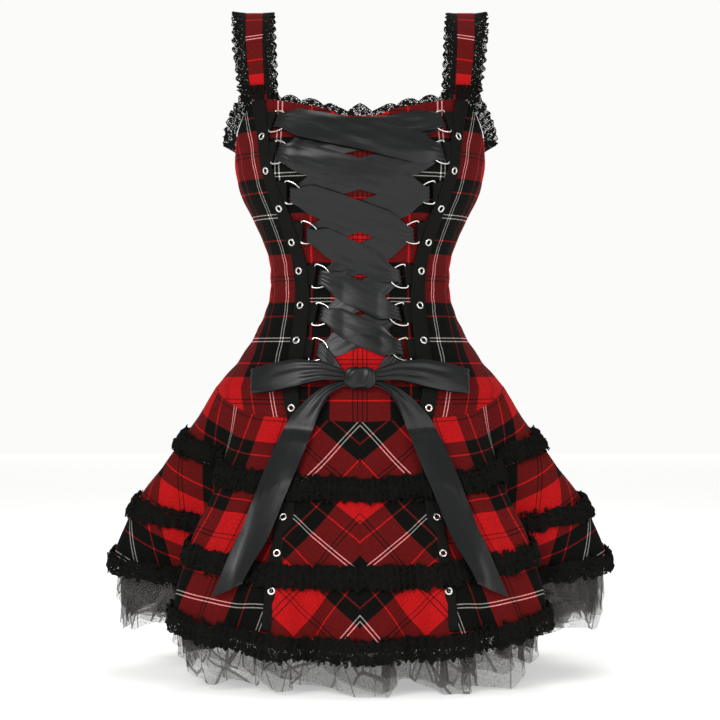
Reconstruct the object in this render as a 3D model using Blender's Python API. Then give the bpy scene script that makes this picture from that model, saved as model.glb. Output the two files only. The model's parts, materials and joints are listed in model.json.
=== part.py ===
"""Corset dress in its worn, filled-out form: a panelled bodice laced with ribbon
through two rows of D-rings, and a flared skirt with three ruched lace trims over
a net frill.

Metres, +Z up, -Y front, +X the wearer's left. The origin lies between the crowns
of the two shoulder straps. A place on the bodice is (angle, drop): the angle is
0 degrees at the centre front and 180 at the centre back, and the drop runs from
0 at the top edge to 1 at the drop-waist seam. On the skirt the second number is
the fall, from 0 at the seam to 1 at the hem.
"""

import math
from bisect import bisect_right

import bmesh
import bpy
import numpy as np

for old in list(bpy.data.objects):
    bpy.data.objects.remove(old, do_unlink=True)

# Driving sizes
SEAM_GAP = 0.0003
CLOTH = 0.0015
TAPE_WIDTH = 0.021
TAPE_THICK = 0.0010
STRIP_THICK = 0.0007
STRIP_SEAT = 0.0008
EYELET_RADIUS = 0.0050
EYELET_HOLE = 0.0026
EYELET_RISE = 0.0009
WIRE_RADIUS = 0.0011
RING_WIDTH = 0.0230
RING_HEIGHT = 0.0320
RIBBON_HEIGHT = 0.0380
RIBBON_THICK = 0.0010
STRAP_WIDTH = 0.0240
ARMHOLE_LACE = 0.0190
STRAP_LACE = 0.0140
LACE_THICK = 0.0010
TRIM_HEIGHT = 0.0260
SIDE_FRONT_COLUMNS = (46.0, 56.5, 68.0, 77.0)
SIDE_SEAM = 80.0
BACK_SEAM = 128.0
SKIRT_SIDE_SEAM = 96.0
CUP_RISE = 0.008
CUP_ANGLE = 31.0
CUP_Z = -0.195

# Body sections: z, half width, front depth, back depth
BODY = (
    (-0.530, 0.187, 0.1225, 0.120),
    (-0.486, 0.187, 0.1160, 0.114),
    (-0.476, 0.179, 0.1140, 0.111),
    (-0.450, 0.157, 0.1080, 0.104),
    (-0.424, 0.140, 0.1020, 0.096),
    (-0.398, 0.127, 0.0950, 0.088),
    (-0.372, 0.118, 0.0900, 0.081),
    (-0.346, 0.116, 0.0880, 0.078),
    (-0.320, 0.118, 0.0910, 0.079),
    (-0.294, 0.127, 0.0980, 0.082),
    (-0.268, 0.139, 0.1080, 0.087),
    (-0.242, 0.152, 0.1170, 0.092),
    (-0.216, 0.160, 0.1210, 0.095),
    (-0.190, 0.162, 0.1210, 0.097),
    (-0.146, 0.161, 0.1040, 0.095),
    (-0.110, 0.158, 0.0880, 0.090),
)
# Top edge: angle, z
TOP_EDGE = (
    (0, -0.1455),
    (9, -0.1435),
    (14, -0.1365),
    (24, -0.1300),
    (44, -0.1205),
    (54, -0.1190),
    (62, -0.1240),
    (75, -0.1520),
    (90, -0.1780),
    (108, -0.1700),
    (122, -0.1500),
    (134, -0.1490),
    (180, -0.1600),
)
# Drop-waist seam: angle, z
WAIST_SEAM = (
    (0, -0.5270),
    (30, -0.5220),
    (45, -0.5185),
    (60, -0.5065),
    (70, -0.4970),
    (80, -0.4885),
    (90, -0.4840),
    (105, -0.4855),
    (135, -0.4980),
    (180, -0.5150),
)
# Skirt hem: angle, z
HEM = (
    (0, -0.797),
    (20, -0.793),
    (45, -0.768),
    (60, -0.735),
    (75, -0.712),
    (90, -0.7035),
    (135, -0.750),
    (180, -0.785),
)
# Skirt sections: fall, half width, front depth, back depth
SKIRT = (
    (0.00, 0.187, 0.1225, 0.120),
    (0.17, 0.210, 0.1420, 0.140),
    (0.33, 0.234, 0.1650, 0.162),
    (0.50, 0.262, 0.1900, 0.186),
    (0.67, 0.288, 0.2100, 0.208),
    (0.83, 0.305, 0.2220, 0.226),
    (1.00, 0.318, 0.2300, 0.238),
)
# Folds that fall inwards: angle, half width in degrees, depth at the hem as a share
FOLDS = (
    (12, 7, 0.06),
    (31, 8, 0.05),
    (61, 16, 0.34),
    (112, 13, 0.15),
    (138, 12, 0.11),
    (160, 11, 0.12),
)
# Centre line of the eyelet tape: drop, angle, then fall, angle
TAPE_ON_BODICE = (
    (0.000, 54.0),
    (0.125, 47.3),
    (0.230, 44.2),
    (0.345, 43.0),
    (0.450, 41.8),
    (0.540, 39.6),
    (0.650, 36.8),
    (0.760, 32.9),
    (0.870, 28.8),
    (1.000, 25.4),
)
TAPE_ON_SKIRT = ((0.00, 25.4), (0.20, 23.2), (0.45, 21.2), (0.75, 20.4), (1.00, 20.0))
EYELET_DROPS = (0.125, 0.230, 0.345, 0.450, 0.540, 0.650, 0.760, 0.870, 0.968)
EYELET_FALLS = (0.120, 0.280, 0.440, 0.595, 0.757)
EYELET_OFFSET = 0.002
BODICE_LENGTH = 0.40
SKIRT_LENGTH = 0.285
TAPE_END = 0.93
RING_Z = (-0.1508, -0.1909, -0.2384, -0.2873, -0.3436, -0.3930, -0.4375)
BODICE_ROWS = [row / 12 for row in range(13)]
SKIRT_ROWS = (0.0, 0.12, 0.24, 0.38, 0.50, 0.62, 0.76, 0.88, 1.0)

# Heights above the cloth, at the middle of each layer
RING_LIFT = 0.0048
LOW_RIBBON = 0.0020
HIGH_RIBBON = 0.0039
TOP_RIBBON = 0.0058
OVER_RING = 0.0076
GATHERED_HALF = 0.0095

# Bow: the knot's place and size, then rows for a loop and a tail
KNOT_Z = -0.4740
KNOT_LIFT = 0.0080
KNOT_SIZE = (0.0205, 0.0065, 0.0140)
KNOT_SIDE = (0.0225, -0.4690)
# Loop: x, z, half height, lift of the front ply, lift of the back ply
LOOP = (
    (0.0225, -0.4700, 0.0060, 0.0120, 0.0085),
    (0.0450, -0.4660, 0.0105, 0.0145, 0.0090),
    (0.0750, -0.4690, 0.0140, 0.0160, 0.0070),
    (0.1050, -0.4750, 0.0150, 0.0155, 0.0062),
    (0.1300, -0.4800, 0.0130, 0.0130, 0.0062),
)
# Tail: x, z, half width, lift
TAIL = (
    (0.0225, -0.4815, 0.0030, 0.0060),
    (0.0420, -0.4870, 0.0045, 0.0070),
    (0.0570, -0.5080, 0.0110, 0.0085),
    (0.0720, -0.5330, 0.0160, 0.0100),
    (0.0900, -0.5790, 0.0175, 0.0105),
    (0.1095, -0.6260, 0.0175, 0.0100),
    (0.1244, -0.6650, 0.0175, 0.0100),
    (0.1420, -0.7010, 0.0175, 0.0105),
    (0.1550, -0.7300, 0.0170, 0.0105),
)

# Strap: share of its length from the front, x, y, z, sideways x, sideways y
STRAP = (
    (0.000, 0.1295, -0.0545, -0.1184, 0.79, 0.61),
    (0.130, 0.1325, -0.0600, -0.0800, 0.90, 0.40),
    (0.270, 0.1350, -0.0520, -0.0380, 0.97, 0.20),
    (0.390, 0.1360, -0.0270, -0.0075, 1.00, 0.05),
    (0.485, 0.1360, 0.0000, 0.0000, 1.00, 0.00),
    (0.580, 0.1358, 0.0270, -0.0095, 1.00, -0.05),
    (0.720, 0.1345, 0.0520, -0.0460, 0.95, -0.25),
    (0.850, 0.1310, 0.0600, -0.0950, 0.88, -0.45),
    (1.000, 0.1270, 0.0585, -0.1476, 0.80, -0.60),
)
STRAP_OUTER_LACE = 0.0190
LACE_WAVE = 0.0022
LACE_SCALLOP = 0.0030
NECK_STAND = 0.0060
NECK_SCALLOP = 0.0035
NECK_PEAK = 0.0070

# Ruched trim: heights up the band as shares, and lifts over its seat
TRIM_SECTION = ((0.30, 0.0), (0.50, 0.003), (0.12, 0.005), (-0.50, 0.003), (-0.30, 0.0))
TRIM_PUFF = 0.005
TRIM_WAVE = 0.0012
TRIM_FALLS = (0.31, 0.69, 1.0)
# Fall at which the net ends: angle, fall
NET_END = ((0, 1.20), (45, 1.24), (70, 1.36), (90, 1.38), (135, 1.28), (180, 1.20))
NET_START = 0.80

# Pivot of the zip's pull tab at the centre back
PULL_PIVOT = (0.0, 0.0997, -0.1680)


def smooth(table, key, column=1):
    """A column of a table at key, on one smooth curve through its rows."""
    keys = [row[0] for row in table]
    values = [row[column] for row in table]
    key = min(max(key, keys[0]), keys[-1])
    low = min(bisect_right(keys, key) - 1, len(keys) - 2)

    def slope(at):
        before, after = max(at - 1, 0), min(at + 1, len(keys) - 1)
        return (values[after] - values[before]) / (keys[after] - keys[before])

    step = keys[low + 1] - keys[low]
    u = (key - keys[low]) / step
    return (
        values[low] * (1 + 2 * u) * (1 - u) ** 2
        + values[low + 1] * u * u * (3 - 2 * u)
        + step * u * (1 - u) * (slope(low) * (1 - u) - slope(low + 1) * u)
    )


def folded(angle):
    """The angle from the centre front, 0 to 180 degrees."""
    return abs((angle + 180) % 360 - 180)


def unit(vector):
    return vector / np.linalg.norm(vector)


def body(angle, z):
    """A point of the filled-out body at this height."""
    turn = math.radians(angle)
    depth = smooth(BODY, z, 2 if math.cos(turn) > 0 else 3)
    cup = math.exp(-(((folded(angle) - CUP_ANGLE) / 15) ** 2) - ((z - CUP_Z) / 0.036) ** 2)
    swell = 1 + cup * CUP_RISE / 0.13
    width = smooth(BODY, z, 1)
    return np.array((width * math.sin(turn) * swell, -depth * math.cos(turn) * swell, z))


def bodice_base(angle, drop):
    side = folded(angle)
    top, seam = smooth(TOP_EDGE, side), smooth(WAIST_SEAM, side)
    return body(angle, top + drop * (seam - top))


def fold_share(angle, fall):
    """How far the folds bring the skirt in at this place, as a share of its radius."""
    side = folded(angle)
    share = 0
    for centre, half, depth in FOLDS:
        if abs(side - centre) < half:
            share += depth * (1 + math.cos(math.pi * (side - centre) / half)) / 2
    return share * min(max(fall, 0.0), 1.0) ** 0.85


def skirt_base(angle, fall):
    side, turn = folded(angle), math.radians(angle)
    seam, hem = smooth(WAIST_SEAM, side), smooth(HEM, side)
    start = body(angle, seam)
    column = 2 if math.cos(turn) > 0 else 3
    wider = smooth(SKIRT, fall, 1) - SKIRT[0][1]
    deeper = smooth(SKIRT, fall, column) - SKIRT[0][column]
    inward = 1 - fold_share(angle, fall)
    return np.array((
        (start[0] + wider * math.sin(turn)) * inward,
        (start[1] - deeper * math.cos(turn)) * inward,
        seam + fall * (hem - seam),
    ))


def normal(base, angle, along):
    """The outward direction of a surface at a place."""
    across = base(angle + 0.5, along) - base(angle - 0.5, along)
    up = base(angle, along - 0.01) - base(angle, along + 0.01)
    return unit(np.cross(across, up))


def raised(base, angle, along, lift=0.0):
    point = base(angle, along)
    return point + lift * normal(base, angle, along) if lift else point


def beside(base, angle, along, distance):
    """The angle that lies this far round from a place, towards the wearer's left."""
    step = np.linalg.norm(base(angle + 0.5, along) - base(angle - 0.5, along))
    return angle + distance / step


def between_rows(base, rows, angle_of, along, lift):
    """A raised point on the straight edge between the two rows that enclose it."""
    low = min(max(bisect_right(rows, along) - 1, 0), len(rows) - 2)
    share = (along - rows[low]) / (rows[low + 1] - rows[low])
    ends = [raised(base, angle_of(row), row, lift) for row in (rows[low], rows[low + 1])]
    return ends[0] + share * (ends[1] - ends[0])


def front_point(x, z, lift):
    """A raised point of the front at this x and z."""
    angle = math.degrees(math.asin(x / smooth(BODY, z, 1)))
    for _ in range(4):
        angle -= (body(angle, z)[0] - x) / (smooth(BODY, z, 1) * 0.0174)
    point = body(angle, z)
    across = body(angle + 0.5, z) - body(angle - 0.5, z)
    up = body(angle, z + 0.004) - body(angle, z - 0.004)
    return point + lift * unit(np.cross(across, up))


def skirt_place(x, z):
    """The angle and fall of the skirt's front at this x and z."""
    angle, fall = 0.0, 0.5
    for _ in range(30):
        seam, hem = smooth(WAIST_SEAM, folded(angle)), smooth(HEM, folded(angle))
        fall = min(max((z - seam) / (hem - seam), 0.0), 1.0)
        here = skirt_base(angle, fall)[0]
        angle += 0.6 * math.degrees((x - here) / smooth(SKIRT, fall, 1))
    return angle, fall


def cloth_material(name, colour, roughness, metallic=0.0):
    material = bpy.data.materials.new(name)
    material.use_nodes = True
    shader = material.node_tree.nodes["Principled BSDF"]
    levels = [int(colour[i : i + 2], 16) / 255 for i in (0, 2, 4)]
    linear = [c / 12.92 if c <= 0.04045 else ((c + 0.055) / 1.055) ** 2.4 for c in levels]
    shader.inputs["Base Color"].default_value = (*linear, 1)
    shader.inputs["Roughness"].default_value = roughness
    shader.inputs["Metallic"].default_value = metallic
    material.diffuse_color = (*linear, 1)
    return material


FINISHES = {
    "tartan": ("7a1517", 0.85, 0.0),
    "tape": ("12120e", 0.75, 0.0),
    "lace": ("0f0e0a", 0.9, 0.0),
    "satin": ("2f2f2e", 0.35, 0.0),
    "net": ("5d5c5b", 0.9, 0.0),
    "metal": ("c9c9c6", 0.25, 1.0),
}


def add_piece(name, points, faces, finish, smooth_angle=40):
    """A closed mesh with its faces outwards, as an object of its own material."""
    mesh = bpy.data.meshes.new(name)
    mesh.from_pydata([tuple(p) for p in points], [], faces)
    shell = bmesh.new()
    shell.from_mesh(mesh)
    if shell.calc_volume(signed=True) < 0:
        bmesh.ops.reverse_faces(shell, faces=shell.faces)
    shell.to_mesh(mesh)
    shell.free()
    mesh.shade_smooth()
    mesh.set_sharp_from_angle(angle=math.radians(smooth_angle))
    piece = bpy.data.objects.new(name, mesh)
    mesh.materials.append(cloth_material(name, *FINISHES[finish]))
    bpy.context.collection.objects.link(piece)
    return piece


def wall_faces(points, rows, columns, closed):
    """The triangles of a wall whose outer points come first and inner points after.

    Each four-sided patch is split along the diagonal that dips inwards, so that
    what lies on the wall clears it.
    """
    faces = []
    offset = rows * columns
    spans = columns if closed else columns - 1
    for i in range(rows - 1):
        for j in range(spans):
            k = (j + 1) % columns
            a, b = i * columns + j, (i + 1) * columns + j
            c, d = (i + 1) * columns + k, i * columns + k
            outward = points[a] - points[offset + a]
            if np.dot(points[a] + points[c] - points[b] - points[d], outward) < 0:
                pairs = ((a, b, c), (a, c, d))
            else:
                pairs = ((a, b, d), (b, c, d))
            faces += pairs
            faces += [tuple(offset + p for p in reversed(t)) for t in pairs]
    for j in range(spans):
        k = (j + 1) % columns
        last = (rows - 1) * columns
        faces.append((j, k, offset + k, offset + j))
        faces.append((last + j, offset + last + j, offset + last + k, last + k))
    if not closed:
        for i in range(rows - 1):
            a, b = i * columns, (i + 1) * columns
            c, d = a + columns - 1, b + columns - 1
            faces.append((a, offset + a, offset + b, b))
            faces.append((c, d, offset + d, offset + c))
    return faces


def add_wall(name, outer, inner, finish, closed=False):
    """A wall between two grids of points, each a list of rows from top to bottom."""
    rows, columns = len(outer), len(outer[0])
    points = [point for grid in (outer, inner) for row in grid for point in row]
    return add_piece(name, points, wall_faces(points, rows, columns, closed), finish)


def tape_angle(drop):
    return smooth(TAPE_ON_BODICE, drop)


def skirt_tape_angle(fall):
    return smooth(TAPE_ON_SKIRT, fall)


def half_gap(base, angle, along, side):
    return beside(base, angle, along, side * SEAM_GAP / 2)


def spread(first, last, count):
    """Columns evenly between two edges, each a function of the drop or fall."""
    return [
        lambda along, share=n / count: first(along) + share * (last(along) - first(along))
        for n in range(count + 1)
    ]


def tape_edge(base, centre, side):
    """The edge of the tape: side 1 is nearer the side seam, -1 nearer the front."""
    return lambda along: beside(base, centre(along), along, side * TAPE_WIDTH / 2)


def fixed(angle):
    return lambda along: angle


def panel(name, base, columns, rows, wall=CLOTH, mirror=1):
    """A panel of a surface between its first and last columns, clear of its neighbours."""
    outer, inner = [], []
    height = np.linalg.norm(base(columns[1](0.5), 1.0) - base(columns[1](0.5), 0.0))
    trim = {rows[0]: SEAM_GAP / height, rows[-1]: -SEAM_GAP / height}
    for along in rows:
        inset = trim.get(along, 0.0)
        angles = [column(along) for column in columns]
        angles[0] = half_gap(base, angles[0], along, 1)
        angles[-1] = half_gap(base, angles[-1], along, -1)
        outer.append([base(mirror * angle, along + inset) for angle in angles])
        inner.append([raised(base, mirror * angle, along + inset, -wall) for angle in angles])
    return add_wall(name, outer, inner, "tartan")


def build_bodice():
    inner_edge = tape_edge(bodice_base, tape_angle, -1)
    outer_edge = tape_edge(bodice_base, tape_angle, 1)
    half = [*spread(fixed(0.0), inner_edge, 3), tape_angle]
    mirrored = [lambda along, c=column: -c(along) for column in reversed(half[1:])]
    panel("bodice_front", bodice_base, [*mirrored, *half], BODICE_ROWS)
    side_front = [tape_angle, outer_edge, *(fixed(angle) for angle in SIDE_FRONT_COLUMNS)]
    side_front.append(fixed(SIDE_SEAM))
    for letter, mirror in (("l", 1), ("r", -1)):
        pieces = (
            ("bodice_side_front_", side_front),
            ("bodice_side_", spread(fixed(SIDE_SEAM), fixed(BACK_SEAM), 6)),
            ("bodice_back_", spread(fixed(BACK_SEAM), fixed(180.0), 4)),
        )
        for name, columns in pieces:
            panel(name + letter, bodice_base, columns, BODICE_ROWS, mirror=mirror)


def skirt_columns():
    """The skirt's columns on one side, from the centre front to the centre back."""
    inner_edge = tape_edge(skirt_base, skirt_tape_angle, -1)
    outer_edge = tape_edge(skirt_base, skirt_tape_angle, 1)
    front = [*spread(fixed(0.0), inner_edge, 3), skirt_tape_angle]
    side = [skirt_tape_angle, *spread(outer_edge, fixed(45.0), 4)]
    side += spread(fixed(45.0), fixed(77.0), 7)[1:]
    side += [fixed(SIDE_SEAM), *spread(fixed(88.0), fixed(SKIRT_SIDE_SEAM), 1)]
    back = spread(fixed(SKIRT_SIDE_SEAM), fixed(180.0), 14)
    return front, side, back


def build_skirt():
    front, side, back = skirt_columns()
    for letter, mirror in (("l", 1), ("r", -1)):
        for name, columns in (("front_", front), ("side_front_", side), ("back_", back)):
            panel("skirt_" + name + letter, skirt_base, columns, SKIRT_ROWS, mirror=mirror)


def tape_point(place, across, lift, mirror):
    """A point of the tape: place runs 0 to 1 on the bodice and 1 to 2 on the skirt."""
    on_skirt = place > 1
    base, rows = (skirt_base, SKIRT_ROWS) if on_skirt else (bodice_base, BODICE_ROWS)
    centre = skirt_tape_angle if on_skirt else tape_angle
    along = place - 1 if on_skirt else place
    point = between_rows(base, rows, lambda row: beside(base, centre(row), row, across), along, lift)
    return point * (mirror, 1, 1)


def tape_lift(place):
    """Height of the tape's underside: over the ring strip, then down on the skirt."""
    share = min(max((place - 0.93) / 0.1, 0.0), 1.0)
    return 0.0027 + share * (0.0009 - 0.0027)


def tape_stations():
    """Places along the tape, each with the eyelet that starts there or None."""
    eyelets = [*EYELET_DROPS, *(1 + fall for fall in EYELET_FALLS)]
    cells = []
    for place in eyelets:
        half = 0.0062 / (BODICE_LENGTH if place < 1 else SKIRT_LENGTH)
        cells.append((place - half, place + half, place))
    rows = [row for row in BODICE_ROWS if row > 0] + [1 + r for r in SKIRT_ROWS if r > 0]
    places = {row: None for row in rows if row < 1 + TAPE_END}
    places[0.004] = None
    places[1 + TAPE_END] = None
    for start, end, _ in cells:
        places = {p: e for p, e in places.items() if not start - 0.012 < p < end + 0.012}
    for start, end, centre in cells:
        places[start], places[end] = centre, None
    return sorted(places.items())


def build_tape(letter, mirror):
    """The eyelet tape: a flat strip with a domed ring round each real hole."""
    points, faces = [], []
    stations = tape_stations()
    halves = (-TAPE_WIDTH / 2, TAPE_WIDTH / 2)
    for place, _ in stations:
        for lift in (tape_lift(place) + TAPE_THICK, tape_lift(place)):
            points += [tape_point(place, across, lift, mirror) for across in halves]
    for index, (place, eyelet) in enumerate(stations[:-1]):
        a = 4 * index
        faces.append((a, a + 2, a + 6, a + 4))
        faces.append((a + 1, a + 5, a + 7, a + 3))
        if eyelet is None:
            faces.append((a, a + 4, a + 5, a + 1))
            faces.append((a + 2, a + 3, a + 7, a + 6))
            continue
        corners = {0: (a + 5, a + 4, a, a + 1), 1: (a + 7, a + 6, a + 2, a + 3)}
        length = BODICE_LENGTH if place < 1 else SKIRT_LENGTH
        rings = []
        for radius, side in ((EYELET_RADIUS, 0), (EYELET_HOLE, 0), (EYELET_HOLE, 1)):
            rise = TAPE_THICK if side == 0 else 0.0
            rise += EYELET_RISE if radius == EYELET_HOLE and side == 0 else 0.0
            first = len(points)
            for n in range(8):
                turn = math.radians(22.5 + 45 * n)
                along = eyelet + radius * math.sin(turn) / length
                across = EYELET_OFFSET + radius * math.cos(turn)
                points.append(tape_point(along, across, tape_lift(along) + rise, mirror))
            rings.append(list(range(first, first + 8)))
        for side, ring in ((0, rings[0]), (1, rings[2])):
            square = corners[side]
            patch = []
            for m in range(4):
                p, q = ring[2 * m], ring[2 * m + 1]
                r = ring[(2 * m + 2) % 8]
                patch.append((square[m], q, p))
                patch.append((square[m], square[(m + 1) % 4], r, q))
            faces += patch if side else [tuple(reversed(f)) for f in patch]
        for first, second in ((rings[0], rings[1]), (rings[1], rings[2])):
            for n in range(8):
                m = (n + 1) % 8
                faces.append((first[n], second[n], second[m], first[m]))
    end = 4 * (len(stations) - 1)
    faces.append((0, 1, 3, 2))
    faces.append((end, end + 2, end + 3, end + 1))
    return add_piece("eyelet_tape_" + letter, points, faces, "tape", 30)


def drop_at(z, angle):
    side = folded(angle)
    top, seam = smooth(TOP_EDGE, side), smooth(WAIST_SEAM, side)
    return (z - top) / (seam - top)


BAR_OFFSET = -0.0190


def ring_frame(row):
    """Bar centre, direction to the front centre, upward and outward directions, drop."""
    drop = 0.5
    for _ in range(8):
        drop = drop_at(RING_Z[row], beside(bodice_base, tape_angle(drop), drop, BAR_OFFSET))
    bar = tape_point(drop, BAR_OFFSET, RING_LIFT, 1)
    inward = unit(tape_point(drop, BAR_OFFSET - RING_WIDTH, RING_LIFT, 1) - bar)
    above = tape_point(drop - 0.03, BAR_OFFSET, 0.0, 1) - tape_point(drop + 0.03, BAR_OFFSET, 0.0, 1)
    outward = unit(np.cross(inward, above))
    outward = outward if np.dot(outward, bar * (1, 1, 0)) > 0 else -outward
    upward = unit(above - inward * np.dot(above, inward))
    return bar, inward, upward, outward, drop


def build_ring(letter, mirror, row):
    """A wire D-ring: a straight bar and a half round towards the centre."""
    bar, inward, upward, outward, _ = ring_frame(row)
    half = RING_HEIGHT / 2 - WIRE_RADIUS
    reach = RING_WIDTH - WIRE_RADIUS
    path = [(0.0, -half * 0.98)]
    for step in range(7):
        turn = math.radians(-90 + 30 * step)
        path.append((0.0025 + (reach - 0.0025) * math.cos(turn), half * math.sin(turn)))
    path.append((0.0, half * 0.98))
    count = len(path)
    points = []
    for index, (x, y) in enumerate(path):
        back = np.array(path[index - 1])
        ahead = np.array(path[(index + 1) % count])
        here = np.array((x, y))
        miter = unit(unit(ahead - here) + unit(here - back))
        side = np.array((miter[1], -miter[0]))
        for n in range(4):
            turn = math.radians(45 + 90 * n)
            radius = WIRE_RADIUS * 1.12
            off = side * radius * math.cos(turn)
            rise = radius * math.sin(turn)
            flat = here + off
            point = bar + inward * flat[0] + upward * flat[1] + outward * rise
            points.append(point * (mirror, 1, 1))
    faces = []
    for index in range(count):
        a, b = 4 * index, 4 * ((index + 1) % count)
        for n in range(4):
            m = (n + 1) % 4
            faces.append((a + n, a + m, b + m, b + n))
    return add_piece(f"d_ring_{letter}{row + 1}", points, faces, "metal", 60)


# Section of a ring tab: distance from the bar away from the centre, height over the cloth
TAB_OUTLINE = (
    (-0.0027, 0.0048),
    (-0.0014, 0.0074),
    (0.0015, 0.0072),
    (0.0078, 0.0020),
    (0.0118, 0.0010),
    (-0.0015, 0.0021),
)
TAB_HALF = 0.0125
TAB_HOLE = 0.0018
TAB_REACH = 0.0060


def tab_mesh(row, mirror):
    """A tab folded round the ring's bar, with the hole that the bar lies in."""
    points, faces = [], []
    bar, _, upward, _, drop = ring_frame(row)
    hole = [
        (TAB_HOLE * math.cos(turn), RING_LIFT + TAB_HOLE * math.sin(turn))
        for turn in (math.radians(180 - 60 * n) for n in range(6))
    ]
    for side in (-1, 1):
        along = drop + side * TAB_HALF / BODICE_LENGTH
        seat = tape_point(along, BAR_OFFSET, RING_LIFT, 1)
        end = bar - side * upward * TAB_HALF
        for across, height in (*TAB_OUTLINE, *hole):
            straight = 1 - min(max((across - TAB_HOLE) / TAB_REACH, 0.0), 1.0)
            place = tape_point(along, BAR_OFFSET + across, height, 1)
            points.append((place + (end - seat) * straight) * (mirror, 1, 1))
    for n in range(6):
        m = (n + 1) % 6
        faces.append((n, m, m + 12, n + 12))
        faces.append((n + 6, n + 18, m + 18, m + 6))
        faces.append((n, n + 6, m + 6, m))
        faces.append((n + 12, m + 12, m + 18, n + 18))
    return points, [half for face in faces for half in (face[:3], (face[0], *face[2:]))]


def build_ring_tabs(letter, mirror):
    """The strip under the tape's inner half that carries seven ring tabs."""
    rows = [0.03, *[row for row in BODICE_ROWS if 0.05 < row < 0.86], 0.88]
    outer, inner = [], []
    for row in rows:
        edges = [-0.0103, -0.0056, -0.0006]
        outer.append([tape_point(row, e, STRIP_SEAT + STRIP_THICK, mirror) for e in edges])
        inner.append([tape_point(row, e, STRIP_SEAT, mirror) for e in edges])
    strip = add_wall("ring_tabs_" + letter, outer, inner, "tape")
    for row in range(len(RING_Z)):
        points, faces = tab_mesh(row, mirror)
        cutter = add_piece(f"tab_{letter}{row}", points, faces, "tape")
        cutter.hide_render = True
        cutter.display_type = "WIRE"
        union = strip.modifiers.new(f"tab {row}", "BOOLEAN")
        union.operation = "UNION"
        union.solver = "MANIFOLD"
        union.object = cutter
    weld = strip.modifiers.new("weld", "WELD")
    weld.merge_threshold = 0.0001
    flat = strip.modifiers.new("flat faces", "DECIMATE")
    flat.decimate_type = "DISSOLVE"
    flat.angle_limit = math.radians(2.0)
    return strip


def ribbon_leg(start, end, cruise):
    """Stations of one leg between two rings: x, z, lift, half height and lean.

    start and end are (x, z, lift, lean) at the rings. The ribbon is gathered where
    it goes through a ring, leans as the ring does, and opens to its full width
    further in.
    """
    x0, z0, lift0, lean0 = start
    x1, z1, lift1, lean1 = end
    length = abs(x1 - x0)
    ends = (0.0, 0.014, 0.028)
    inner = max(math.ceil((length - 2 * ends[-1]) / 0.026), 1)
    middle = [ends[-1] + n * (length - 2 * ends[-1]) / inner for n in range(1, inner)]
    rows = []
    for reach in (*ends, *middle, *(length - e for e in reversed(ends))):
        share = reach / length
        from_ends = min(reach, length - reach)
        near = lift0 if share < 0.5 else lift1
        lift = near + (cruise - near) * min(max((from_ends - 0.014) / 0.014, 0.0), 1.0)
        opened = min(max((from_ends - 0.004) / 0.020, 0.0), 1.0)
        half = GATHERED_HALF + (RIBBON_HEIGHT / 2 - GATHERED_HALF) * opened
        lean = (lean0 if share < 0.5 else lean1) * (1 - opened)
        rows.append((x0 + share * (x1 - x0), z0 + share * (z1 - z0), lift, half, lean))
    return rows


def knot_leg(side, ring, cruise, lift_at_ring):
    """Stations from the knot's side to a bottom ring."""
    rows = []
    for step in range(5):
        share = step / 4
        x = KNOT_SIDE[0] + share * (ring[0] - KNOT_SIDE[0])
        z = KNOT_SIDE[1] + share * (ring[1] - KNOT_SIDE[1])
        lift = cruise + (lift_at_ring - cruise) * min(max(4 * share - 1.5, 0.0), 1.0)
        half = 0.008 + 0.005 * math.sin(math.pi * share)
        half = GATHERED_HALF if share > 0.9 else half
        rows.append((side * x, z, lift, half, side * ring[2] if share > 0.9 else 0.0))
    return rows


def ring_turn(side, ring, lift_from, lift_to):
    """Stations where the ribbon turns back through a ring."""
    rows = []
    radius = (lift_to - lift_from) / 2
    for degrees in (55, 125):
        angle = math.radians(degrees)
        x = ring[0] + abs(radius) * math.sin(angle)
        lift = lift_from + radius * (1 - math.cos(angle))
        rows.append((side * x, ring[1], lift, GATHERED_HALF, side * ring[2]))
    return rows


def lacing_path():
    """Stations of the whole ribbon, from the knot up one zigzag, across the top
    and down the other. One of the two legs of each crossing lies low, under the
    rings' round sides, and the other lies high, over them."""
    rings = []
    for row in range(len(RING_Z)):
        bar, inward, upward = ring_frame(row)[:3]
        hole = bar + inward * 0.0115
        rings.append((hole[0], hole[2], upward[0] / upward[2]))
    last = len(rings) - 1
    path = knot_leg(-1, rings[last], HIGH_RIBBON, OVER_RING)
    path += ring_turn(-1, rings[last], OVER_RING, LOW_RIBBON)

    def cross(side, row_from, row_to, low):
        """A leg from the ring on this side to one on the other, and its turn there."""
        lifts = (LOW_RIBBON, LOW_RIBBON) if low else (OVER_RING, OVER_RING)
        cruise = LOW_RIBBON if low else HIGH_RIBBON
        if not low and 0 in (row_from, row_to):
            cruise = TOP_RIBBON
        if row_from == row_to:
            lifts, cruise = (LOW_RIBBON, OVER_RING), HIGH_RIBBON
        x0, z0, lean0 = rings[row_from]
        x1, z1, lean1 = rings[row_to]
        start = (side * x0, z0, lifts[0], side * lean0)
        leg = ribbon_leg(start, (-side * x1, z1, lifts[1], -side * lean1), cruise)
        other = OVER_RING if lifts[1] == LOW_RIBBON else LOW_RIBBON
        return leg + ring_turn(-side, rings[row_to], lifts[1], other)

    for row in range(last, 0, -1):
        low = (last - row) % 2 == 0
        path += cross(-1 if low else 1, row, row - 1, low)
    path += cross(-1, 0, 0, True)
    for row in range(last):
        low = row % 2 == 0
        path += cross(1 if low else -1, row, row + 1, low)
    path += reversed(knot_leg(1, rings[last], LOW_RIBBON, LOW_RIBBON))
    return path


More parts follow.
